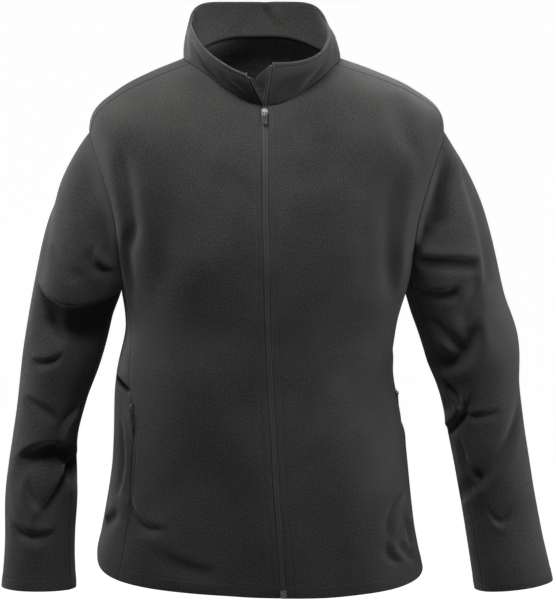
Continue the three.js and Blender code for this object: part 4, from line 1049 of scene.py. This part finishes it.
# Back
# One back panel from side panel to side panel, cut on over the shoulders to the forward shoulder seams
# and up to the neck seam. Softshell as the fronts, with the same turned and stitched hem.
BACK_WIDTH, BACK_ROW = 440.0, 2.8
BACK_MIDDLE_ROWS = [
    # row of cells, its level down the middle
    (0, 0.0), (SIDE_SEAM, 6.0), (SIDE_SEAM + ARM_BACK, 11.0), (SIDE_SEAM + ARM_BACK + ACROSS, 12.0),
]
BACK_CUT = ((0.60, 0.80), 0.343)


def make_back():
    """The back with its stitched hem."""
    start, end = (joined(s["side_back"], s["arm_back"], s["yoke"][::-1]) for s in (SEAMS[1], SEAMS[-1]))
    end = past_centre_back(end)
    bottom, top = (evenly(straight(start[i], end[i]), NECK_BACK) for i in (0, -1))
    middle = np.interp(np.arange(len(start)), *zip(*BACK_MIDDLE_ROWS))
    hemmed_panel(
        "back", body_patch(bottom, top, start, end, middle), (len(start) - 1, NECK_BACK),
        (BACK_ROW, BACK_WIDTH / NECK_BACK), 1, BACK_CUT)


make_back()

# Sleeves
# Two-piece sleeves: an upper part over the front and outside of the arm, and an under part along the
# back and inside. The two seams run from the armhole to the cuff, which is turned in and stitched.
SLEEVE_ROWS = 190
SLEEVE_CELLS = {"under": 84, "top": 110}
SLEEVE_RADIUS = 55.0  # rough mean radius, for the width of a cell
SLEEVE_UNDER_BACK = 0.6  # share of the back of the armhole that the under part takes
SLEEVE_CUTS = {
    ("under", 1): ((0.24, 0.55), 0.095), ("under", -1): ((0.22, 0.55), 0.083),
    ("top", 1): ((0.31, 0.66), 0.134), ("top", -1): ((0.29, 0.66), 0.118),
}


def make_sleeve(side, key):
    """Both parts of one sleeve. Rows run from the cuff up to the armhole."""
    first = math.radians(UNDERARM_TURN)
    back_start = math.radians(360 - UNDERARM_TURN)
    back_end = math.radians(360 + YOKE_TURN)
    split = back_start + SLEEVE_UNDER_BACK * (back_end - back_start)
    rings = SLEEVE_RINGS[side]
    run = np.linalg.norm(np.diff(rings[:, :3], axis=0), axis=1).sum() / (1 - CAP_SHARE)
    for part, start, end in (("under", first, split), ("top", split, first + math.tau)):
        count = SLEEVE_CELLS[part]

        def surface(rows, columns, start=start, end=end, count=count):
            around = start + (end - start) * columns / count
            return sleeve_point(side, around[None, :], 1 - (rows / SLEEVE_ROWS)[:, None])

        width = (end - start) * SLEEVE_RADIUS
        hemmed_panel(
            f"sleeve_{part}_{key}", surface, (SLEEVE_ROWS, count), (run / SLEEVE_ROWS, width / count),
            -side, SLEEVE_CUTS[part, side])


make_sleeve(1, "left")
make_sleeve(-1, "right")

# Collar
# A stand collar of two layers of softshell, sewn to the neck seam. The outer layer is turned over the
# top edge and both front edges and stitched 6 mm in. The wearer's right half curls outwards.
COLLAR_ROWS, COLLAR_CELLS = 24, len(NECK_LOOP) - 1
RIM_ROLL = ([0, 0.6, 2.1], [2.1, 0.6, 0])
RIM_INSIDE = [(2.6, 4.4), (2.1, 4.2), (0.6, 3.6)]
RIM_STATIONS = [0, 0.6, 1.3, 2.1, 2.6, *around_stitch(6.0)]
STITCHED_RIM = 6.0
INNER_DEPTH, INNER_TOP, INNER_INSET = 4.6, 0.955, 0.9
COLLAR_SPAN = 590.0
COLLAR_CUT = {"outer": ((0.60, 0.075), 0.030), "inner": ((0.59, 0.07), 0.0248)}


def outer_collar(rows, columns):
    """The collar's outer layer, with its rows counted down from the top edge."""
    angle = np.interp(columns, np.arange(len(NECK_LOOP)), NECK_LOOP)
    return collar_point(angle[None, :], (1 - rows / COLLAR_ROWS)[:, None])


def inner_collar(rows, columns):
    """The collar's inner layer, a little lower and narrower than the outer one."""
    cells = INNER_INSET + columns * (1 - 2 * INNER_INSET / COLLAR_CELLS)
    angle = np.interp(cells, np.arange(len(NECK_LOOP)), NECK_LOOP)[None, :]
    height = (INNER_TOP * (1 - rows / COLLAR_ROWS))[:, None]
    angle, height = np.broadcast_arrays(angle, height)
    return collar_point(angle, height) - collar_normal(angle, height) * INNER_DEPTH


rows = stations(COLLAR_ROWS, COLLAR_HEIGHT / COLLAR_ROWS, RIM_STATIONS, SEAM_STATIONS)
columns = stations(COLLAR_CELLS, COLLAR_SPAN / COLLAR_CELLS, EDGE_STATIONS, EDGE_STATIONS)
outer_layer = cut_cloth(
    outer_collar, rows, columns, -1,
    edges={**PANEL_ROLLS, "first_row": RIM_ROLL, "first_column": TURNED_ROLL, "last_column": TURNED_ROLL},
    stitches=[("first_row", STITCHED_RIM, math.inf), ("first_column", STITCHED_EDGE, math.inf),
              ("last_column", STITCHED_EDGE, math.inf)],
    inside=RIM_INSIDE, meeting=MEETING)
cloth_piece("collar_outer_layer", outer_layer, [SOFTSHELL, FLEECE], "collar_outer", COLLAR_CUT["outer"])
stitching("collar_stitching", outer_layer["sewn"])

inner_layer = cut_cloth(inner_collar, rows, columns, 1, edges={**PANEL_ROLLS, "first_row": SEAM_ROLL})
cloth_piece(
    "collar_inner_layer", inner_layer, [SOFTSHELL, FLEECE], "collar_inner", COLLAR_CUT["inner"])

# Neck tape
# A twill tape, 10 mm wide, that covers the allowances of the back neck seam inside. It is stitched along
# both of its edges from shoulder seam to shoulder seam.
NECK_TAPE_BELOW, NECK_TAPE_ABOVE, NECK_TAPE_DEPTH = 5.5, 3.5, 5.9
NECK_TAPE_ROWS, NECK_TAPE_LEAN = 8, 0.06
NECK_TAPE_THICKNESS = 0.6
NECK_TAPE_CUT = ((0.0125, 0.285), 0.00338)
TWILL_TAPE = woven_material(
    "twill_tape", dark=(0.010, 0.010, 0.010), light=(0.018, 0.018, 0.018), threads=330,
    mottle_scale=500, bump=0.0004, roughness=0.8, sheen=0.1)


def neck_tape_surface(rows, columns):
    """The tape from below the neck seam to above it, inside the back and the collar."""
    angle = np.interp(columns + NECK_FRONT, np.arange(len(NECK_LOOP)), NECK_LOOP)[None, :]
    distance = (-NECK_TAPE_BELOW + (NECK_TAPE_ABOVE + NECK_TAPE_BELOW) * rows / NECK_TAPE_ROWS)[:, None]
    angle, distance = np.broadcast_arrays(angle, distance)
    seam = body_point(angle, 0 * angle + NECK)
    down = unit(body_point(angle, 0 * angle + NECK - 0.1) - seam)
    rise = unit(collar_point(angle, 0 * angle + 0.1) - collar_point(angle, 0 * angle))
    inwards = -collar_normal(angle, 0 * angle + 0.05)
    bend = np.clip(distance / 2, -1, 1)[..., None]
    along = rise * np.maximum(distance, 0)[..., None] - down * np.minimum(distance, 0)[..., None]
    return seam + along + inwards * NECK_TAPE_DEPTH * (1 - NECK_TAPE_LEAN + NECK_TAPE_LEAN * bend)


tape = cut_cloth(
    neck_tape_surface, np.arange(NECK_TAPE_ROWS + 1.0), np.arange(NECK_BACK + 1.0), -1,
    edges={"first_row": SEAM_ROLL, "last_row": SEAM_ROLL})
cloth_piece(
    "neck_seam_tape", tape, [TWILL_TAPE], "neck_tape", NECK_TAPE_CUT, NECK_TAPE_THICKNESS)

# Front zip
# A separating coil zip, sewn in with its coil to the inside, so its tapes meet in the middle as two fine
# ridges. Above the slider the halves part and run up the collar's edges. The tapes are woven polyester.
ZIP_ROWS_COLLAR = 26
ZIP_TOP = 0.93  # share of the collar's height that the zip reaches
INTO_CLOTH = 0.06  # angle from the edge at which the direction into the cloth is read
SMOOTHING_ROUNDS = 4
ZIP_TAPE_PROFILE = [
    # from the middle, depth under the cloth's face
    (0.12, 1.6), (0.14, 0.9), (0.35, 0.5), (0.8, 0.28), (1.5, 0.2), (2.3, 0.26), (3.0, 0.45), (3.5, 0.8),
    (3.9, 1.35), (4.4, 1.9), (5.2, 2.15), (8.0, 2.15), (11.5, 2.15), (15.0, 2.15),
]
COIL_PITCH, COIL_MIDDLE, COIL_DEPTH, COIL_STAGGER, COIL_SIZE = 1.5, 1.75, 1.75, 0.25, (1.55, 0.42, 0.5)
ZIP_TAPE_THICKNESS, TAPE_FROM_MIDDLE, DEEPER_IN_HEM = 0.55, 4.0, 0.5
ZIP_CUT = ((0.020, 0.76), 0.0119)
ZIP_TAPE = woven_material(
    "zip_tape", dark=(0.040, 0.040, 0.040), light=(0.085, 0.085, 0.084), threads=209,
    mottle_scale=1300, bump=0.0006, roughness=0.62, sheen=0.1)


def edge_line(side):
    """The front edge of one half from hem to collar top: the zip's middle, the edge, directions from
    the middle to the edge and on into the cloth, normals, and the height up the collar, 0 below it."""
    places, other = SEAMS[side]["centre_front"][:-1], SEAMS[-side]["centre_front"][:-1]
    body_edge = at_places(body_point, places)
    body_middle = (body_edge + at_places(body_point, other)) / 2
    body_next = body_point(places[:, 0] + side * INTO_CLOTH, places[:, 1])
    height = np.linspace(0, ZIP_TOP, ZIP_ROWS_COLLAR)
    angle = np.full(len(height), NECK_LOOP[0] if side > 0 else NECK_LOOP[-1])
    collar_edge = collar_point(angle, height)
    collar_next = collar_point(angle + side * INTO_CLOTH, height)
    collar_middle = collar_edge - unit(collar_next - collar_edge) * ZIP_OPENING
    middle, edge, beyond = (np.vstack(pair) for pair in (
        (body_middle, collar_middle), (body_edge, collar_edge), (body_next, collar_next)))
    normal = np.vstack([at_places(body_normal, places), collar_normal(angle, height)])
    for _ in range(SMOOTHING_ROUNDS):
        normal[1:-1] = unit(normal[:-2] + 2 * normal[1:-1] + normal[2:])
    return {"middle": middle, "edge": edge, "into": unit(beyond - edge), "normal": normal,
            "height": np.concatenate([np.zeros(len(places)), height])}


def beside(line, across, depth):
    """Points at distances from the zip's middle, at depths under the cloth's face."""
    gap = np.linalg.norm(line["edge"] - line["middle"], axis=-1)[:, None]
    towards = unit(line["edge"] - line["middle"])
    over_gap = np.minimum(across, gap)[..., None] * towards[:, None]
    under_cloth = np.maximum(across - gap, 0)[..., None] * line["into"][:, None]
    inwards = line["normal"][:, None] * np.broadcast_to(depth, across.shape)[..., None]
    return line["middle"][:, None] + over_gap + under_cloth - inwards


def strip(points, across, outward):
    """A sheet along an edge, ready for cloth_piece."""
    run = np.broadcast_to(runs_along(points, 0)[:, :1], points.shape[:2])
    return {"points": points, "uv": np.stack([across, run], axis=-1), "outward": outward}


def coil(name, line, side):
    """The nylon coil on the inner side of one half, as one joined mesh."""
    points, along, up = spaced(line["middle"], line["normal"], COIL_PITCH)
    towards = unit(np.cross(up, along)) * side
    centres = points + towards * COIL_MIDDLE - up * COIL_DEPTH + along * COIL_STAGGER * side
    small_solids(name, [
        frame_at(centre, across, out, COIL_SIZE) for centre, across, out in zip(centres, towards, up)
    ], NYLON)


def handled_finish_group():
    """Node group for hard trim: a fine grain, and broad patches where handling has worn it."""
    group, given, exit_node = node_group(
        "handled_finish", {"Vector": "NodeSocketVector", "Grain Scale": "NodeSocketFloat"}, ["Grain", "Wear"])
    grain = add_node(group, "ShaderNodeTexNoise", {
        "Vector": given["Vector"], "Scale": given["Grain Scale"], "Detail": 3})
    wear = add_node(group, "ShaderNodeTexNoise", {"Vector": given["Vector"], "Scale": 260, "Detail": 4})
    fill_inputs(group, exit_node, {"Grain": grain.outputs["Fac"], "Wear": wear.outputs["Fac"]})
    return group


HANDLED_FINISH = handled_finish_group()


def trim_material(name, fresh, worn, metallic, roughness, grain_scale, bump):
    """Metal or moulded trim whose colour and gloss change where it is worn."""
    material, tree, shader = new_material(name)
    coordinates = tree.nodes.new("ShaderNodeTexCoord").outputs
    finish = tree.nodes.new("ShaderNodeGroup")
    finish.node_tree = HANDLED_FINISH
    fill_inputs(tree, finish, {"Vector": coordinates["Object"], "Grain Scale": grain_scale})
    wear = finish.outputs["Wear"]
    fill_inputs(tree, shader, {
        "Base Color": blended(tree, wear, 0.4, 0.62, fresh, worn),
        "Roughness": ranged(tree, wear, roughness - 0.08, roughness + 0.1),
        "Normal": bumped(tree, finish.outputs["Grain"], 0.4, bump),
        "Metallic": metallic,
    })
    return material


NYLON = trim_material(
    "coil_nylon", fresh=(0.05, 0.05, 0.05), worn=(0.09, 0.09, 0.09), metallic=0.0, roughness=0.42,
    grain_scale=1500, bump=0.00005)
EDGE_LINES = {1: edge_line(1), -1: edge_line(-1)}

for side, key in ((1, "left"), (-1, "right")):
    line = EDGE_LINES[side]
    across, depth = (np.array(column)[None, :] for column in zip(*ZIP_TAPE_PROFILE))
    across = np.broadcast_to(across, (len(line["middle"]), across.shape[1]))
    in_hem = np.clip(1 - runs_along(line["middle"][:, None], 0) / HEM_DEPTH, 0, 1) > 0
    depth = depth + DEEPER_IN_HEM * in_hem * (across > TAPE_FROM_MIDDLE)
    cloth_piece(
        f"zip_{key}_tape", strip(beside(line, across, depth), across, side), [ZIP_TAPE],
        f"zip_{key}", ZIP_CUT, ZIP_TAPE_THICKNESS)
    coil(f"zip_{key}_coil", line, side)

# Wind guard
# A strip of softshell sewn behind the wearer's left half of the zip. It lies behind the closed zip and
# ends at the collar's top in a folded guard for the chin.
GUARD_DEPTH, GUARD_CROWN, GUARD_INNER, GUARD_BEHIND, GUARD_THICKNESS = 5.7, 0.5, 14.0, 12.0, 1.0
GUARD_FAR = [
    # height up the collar, reach past the zip's middle
    (0.0, 12.0), (0.06, 9.0), (0.14, 2.0), (0.36, 1.0), (0.47, 6.0), (0.6, 15.0), (0.68, 14.0), (0.9, 1.5),
    (0.93, -1.0),
]
GUARD_COLUMNS = 14
GUARD_CUT = ((0.032, 0.75), 0.0191)

line = EDGE_LINES[1]
reach = np.interp(line["height"], *zip(*GUARD_FAR))
reach[line["height"] == 0] = GUARD_BEHIND
share = np.linspace(0, 1, GUARD_COLUMNS)[None, :]
across = -reach[:, None] + (GUARD_INNER + reach[:, None]) * share
depth = GUARD_DEPTH - GUARD_CROWN * np.sin(math.pi * share) + 0 * across
cloth_piece(
    "wind_guard_strip", strip(beside(line, across, depth), across, 1), [SOFTSHELL, SOFTSHELL],
    "wind_guard", GUARD_CUT, GUARD_THICKNESS)

# Pocket zips
# A closed coil zip behind the opened seam of each front and side panel, with its tapes sewn to both. A
# bar of stitches closes the seam above and below it.
POCKET_PROFILE = [
    # from the middle, depth under the cloth's face
    (-9.0, 2.2), (-6.0, 2.2), (-3.6, 2.1), (-2.9, 1.7), (-2.4, 1.0), (-1.8, 0.65), (-1.0, 0.55), (-0.4, 0.7),
    (-0.12, 1.2), (0.12, 1.2), (0.4, 0.7), (1.0, 0.55), (1.8, 0.65), (2.4, 1.0), (2.9, 1.7), (3.6, 2.1),
    (6.0, 2.2), (9.0, 2.2),
]
POCKET_CUT = ((0.021, 0.168), 0.00338)
INTO_PANELS = 0.04


def pocket_line(side):
    """The middle of a pocket zip up the seam, with directions into both panels and normals."""
    seam = SEAMS[side]["side_front"]
    z = at_places(body_point, seam)[:, 2]
    seam = seam[(z > POCKET_BOTTOM - POCKET_END) & (z < POCKET_TOP + POCKET_END)]
    in_front, in_panel = (opened_for_pocket(seam, way * side) for way in (-1, 1))
    middle = (at_places(body_point, in_front) + at_places(body_point, in_panel)) / 2
    into_front, into_panel = (
        unit(body_point(places[:, 0] + way * side * INTO_PANELS, places[:, 1]) - middle)
        for places, way in ((in_front, -1), (in_panel, 1)))
    return middle, into_front, into_panel, at_places(body_normal, seam)


for side, key in ((1, "left"), (-1, "right")):
    middle, into_front, into_panel, normal = pocket_line(side)
    across, depth = (np.array(column)[None, :, None] for column in zip(*POCKET_PROFILE))
    points = middle[:, None] + into_panel[:, None] * np.maximum(across, 0) \
        - into_front[:, None] * np.minimum(across, 0) - normal[:, None] * depth
    across = np.broadcast_to(across[..., 0], points.shape[:2])
    cloth_piece(
        f"pocket_zip_{key}_tape", strip(points, across, side), [ZIP_TAPE], f"pocket_zip_{key}",
        POCKET_CUT, ZIP_TAPE_THICKNESS)

# Sliders
# Die-cast sliders, a full-size one on the front zip and smaller ones on the pocket zips, each with a
# bridge that holds its pull. The front zip ends in a cast box at the hem and in a stop on each collar edge.
SLIDER_HALF, SLIDER_NOSE, SLIDER_TAIL, SLIDER_BOTTOM, SLIDER_TOP = 4.0, 6.5, 6.5, -0.1, 2.4
# Half of the slider's outline from the tail up, in shares of its half width and of its reach up or down
SHIELD = [(0.62, -1), (0.78, -0.55), (0.95, -0.1), (1, 0.25), (1, 0.7), (0.6, 1)]
# The bridge seen from the side, along the zip and out from it
BRIDGE_HALF = 0.8
BRIDGE = [
    (-3.4, 1.9), (-2.4, 1.9), (-2.4, 3.5), (-1.4, 4.2), (1.4, 4.2), (2.4, 3.5), (2.4, 1.9), (3.4, 1.9),
    (3.4, 4.0), (2.4, 5.2), (-2.4, 5.2), (-3.4, 4.0),
]
PIN_OUT = 3.3  # of the pull's hinge from the zip's surface
POCKET_SLIDER_SCALE = (0.6, 0.85, 1.0)
BOX_HALF, BOX_FROM, BOX_TO, BOX_TOP = 4.0, 2.0, 12.0, 2.0
STOP_SIZE, STOP_OUT, STOP_ACROSS = (2.6, 1.7, 1.0), 0.5, 1.2
SLANTED = Matrix(((0, 0, 1, 0), (1, 0, 0, 0), (0, 1, 0, 0), (0, 0, 0, 1)))  # turns a plate on its side
CORNER_SHARE = 0.45  # the most of an edge that one rounded corner takes


def rounded(corners, radius, steps=4):
    """An outline with its corners rounded."""
    corners = [np.array(corner, float) for corner in corners]
    outline = []
    for before, corner, after in zip(corners[-1:] + corners[:-1], corners, corners[1:] + corners[:1]):
        to_before, to_after = before - corner, after - corner
        reach = min(radius, *(np.linalg.norm(way) * CORNER_SHARE for way in (to_before, to_after)))
        start, end = corner + unit(to_before) * reach, corner + unit(to_after) * reach
        for t in np.linspace(0, 1, steps + 1):
            outline.append(tuple(start * (1 - t) ** 2 + corner * 2 * t * (1 - t) + end * t * t))
    return outline


def plate(solid, loops, bottom, top, turn=Matrix()):
    """Adds a flat plate to a mesh. The first loop is its outline and the others are holes."""
    rings = []
    for height in (bottom, top):
        edges = []
        for loop in loops:
            ring = [solid.verts.new(turn @ Vector((x, y, height))) for x, y in loop]
            edges += [solid.edges.new(pair) for pair in zip(ring, ring[1:] + ring[:1])]
            rings.append(ring)
        bmesh.ops.triangle_fill(solid, edges=edges, use_beauty=True)
    for low, high in zip(rings[:len(loops)], rings[len(loops):]):
        for i in range(len(low)):
            solid.faces.new((low[i - 1], low[i], high[i], high[i - 1]))
    bmesh.ops.recalc_face_normals(solid, faces=solid.faces)


def hard_piece(name, solid, place, material, body, bevel):
    """A piece of hard trim from a mesh in its own frame, with its edges rounded."""
    bmesh.ops.transform(solid, matrix=place, verts=solid.verts)
    bmesh.ops.scale(solid, vec=(MM, MM, MM), verts=solid.verts)
    piece = new_object(name, solid, [material])
    rounding = piece.modifiers.new("rounded_edges", "BEVEL")
    rounding.width = bevel * MM
    rounding.segments = 2
    rounding.limit_method = "ANGLE"
    rounding.angle_limit = math.radians(30)
    rounding.harden_normals = True
    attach(piece, body)
    return piece


def frame_matrix(x_axis, up, out, origin):
    """A frame as a matrix, with x across the zip, y up along it and z out from the jacket."""
    return Matrix([[x_axis[i], up[i], out[i], origin[i]] for i in range(3)] + [[0, 0, 0, 1]])


def slider_frame(joint, line):
    """The frame of a slider on a zip's middle line, from the hinge of its pull."""
    x_axis, pin = -np.array(joint["axis"], float), np.array(joint["pos_m"], float) / MM
    near = int(np.argmin(np.linalg.norm(line - pin, axis=-1)))
    up = line[min(near + 3, len(line) - 1)] - line[near - 3]
    up = unit(up - x_axis * (up @ x_axis))
    out = np.cross(x_axis, up)
    return frame_matrix(x_axis, up, out, pin - out * PIN_OUT)


def slider(name, place, scale):
    """A slider's body and its bridge as one piece."""
    half = [(x * SLIDER_HALF, y * (SLIDER_NOSE if y > 0 else SLIDER_TAIL)) for x, y in SHIELD]
    solid = bmesh.new()
    plate(solid, [rounded(half + [(-x, y) for x, y in half[::-1]], 1.2)], SLIDER_BOTTOM, SLIDER_TOP)
    plate(solid, [rounded(BRIDGE, 0.5, 2)], -BRIDGE_HALF, BRIDGE_HALF, SLANTED)
    bmesh.ops.scale(solid, vec=scale, verts=solid.verts)
    return hard_piece(f"{name}_casting", solid, place, ZINC, "jacket", 0.35)


ZINC = trim_material(
    "zinc_casting", fresh=(0.62, 0.62, 0.61), worn=(0.42, 0.42, 0.41), metallic=1.0, roughness=0.3,
    grain_scale=700, bump=0.00003)
JOINTS = {joint["name"]: joint for joint in frame["joints"]}
front_frame = slider_frame(JOINTS["zip_pull_swing"], EDGE_LINES[1]["middle"])
pocket_frames = {
    key: slider_frame(JOINTS[f"pocket_pull_{key}_swing"], pocket_line(side)[0])
    for side, key in ((1, "left"), (-1, "right"))}
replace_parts(slider("zip_slider", front_frame, (1, 1, 1)), "zip_slider")
for key, place in pocket_frames.items():
    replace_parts(slider(f"pocket_slider_{key}", place, POCKET_SLIDER_SCALE), f"pocket_slider_{key}")

line = EDGE_LINES[1]
up = unit(line["middle"][4] - line["middle"][0])
out = unit(line["normal"][0] - up * (line["normal"][0] @ up))
place = frame_matrix(np.cross(up, out), up, out, line["middle"][0])
outline = [(-BOX_HALF, BOX_FROM), (BOX_HALF, BOX_FROM), (BOX_HALF, BOX_TO), (-BOX_HALF, BOX_TO)]
solid = bmesh.new()
plate(solid, [rounded(outline, 1)], SLIDER_BOTTOM, BOX_TOP)
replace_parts(hard_piece("zip_box_casting", solid, place, ZINC, "jacket", 0.4), "zip_box")

for side, key in ((1, "left"), (-1, "right")):
    line = EDGE_LINES[side]
    up = unit(line["middle"][-1] - line["middle"][-3])
    towards = unit(line["edge"][-1] - line["middle"][-1])
    out = unit(np.cross(towards, up)) * side
    solid = bmesh.new()
    bmesh.ops.create_cube(solid, size=1, matrix=Matrix.Diagonal((*STOP_SIZE, 1)))
    middle = line["middle"][-1] + towards * STOP_ACROSS + out * STOP_OUT
    place = frame_matrix(np.cross(up, out), up, out, middle)
    hard_piece(f"zip_{key}_top_stop", solid, place, ZINC, "jacket", 0.3)

# Pull tabs
# Moulded pulls that hang from the sliders' bridges, each with a slot at its top and a ribbed grip below.
# The front zip has a short one, and the pocket zips have longer ones.
PULL_THICK, PULL_HALF, PULL_TAPER, SLOT_HALF, SLOT_TO = 1.0, 3.2, 0.92, 2.0, -4.2
PULL_LENGTHS = {"zip_pull": 18.0, "pocket_pull_left": 27.0, "pocket_pull_right": 27.0}
GRIP_FROM, GRIP_END, GRIP_HALF = -6.2, 2.2, 2.3
RIB_PITCH, RIB_WIDTH, RIB_HEIGHT, RIB_SUNK = 1.7, 0.8, 0.2, 0.05
PULL_COATING = trim_material(
    "pull_coating", fresh=(0.022, 0.022, 0.022), worn=(0.042, 0.042, 0.042), metallic=0.0, roughness=0.42,
    grain_scale=1200, bump=0.00006)

for name, place in (("zip_pull", front_frame), ("pocket_pull_left", pocket_frames["left"]),
                    ("pocket_pull_right", pocket_frames["right"])):
    length, bar, foot = PULL_LENGTHS[name], PULL_THICK / 2, PULL_HALF * PULL_TAPER
    outline = rounded([(PULL_HALF, bar), (-PULL_HALF, bar), (-foot, -length), (foot, -length)], 1.6)
    slot = rounded([(-SLOT_HALF, -bar), (-SLOT_HALF, SLOT_TO), (SLOT_HALF, SLOT_TO), (SLOT_HALF, -bar)], 0.6)
    solid = bmesh.new()
    plate(solid, [outline, slot], -bar, bar)
    for y in np.arange(GRIP_FROM, -length + GRIP_END, -RIB_PITCH):
        rib = [(GRIP_HALF, y), (-GRIP_HALF, y), (-GRIP_HALF, y - RIB_WIDTH), (GRIP_HALF, y - RIB_WIDTH)]
        plate(solid, [rounded(rib, 0.35, 2)], bar - RIB_SUNK, bar + RIB_HEIGHT)
    pull = hard_piece(
        f"{name}_moulding", solid, place @ Matrix.Translation((0, 0, PIN_OUT)), PULL_COATING, f"{name}_tab",
        0.25)
    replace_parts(pull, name)

visual_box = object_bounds()
({name: [list(corner) for corner in box] for name, box in
           (("cad", cad_box), ("visual", visual_box))})
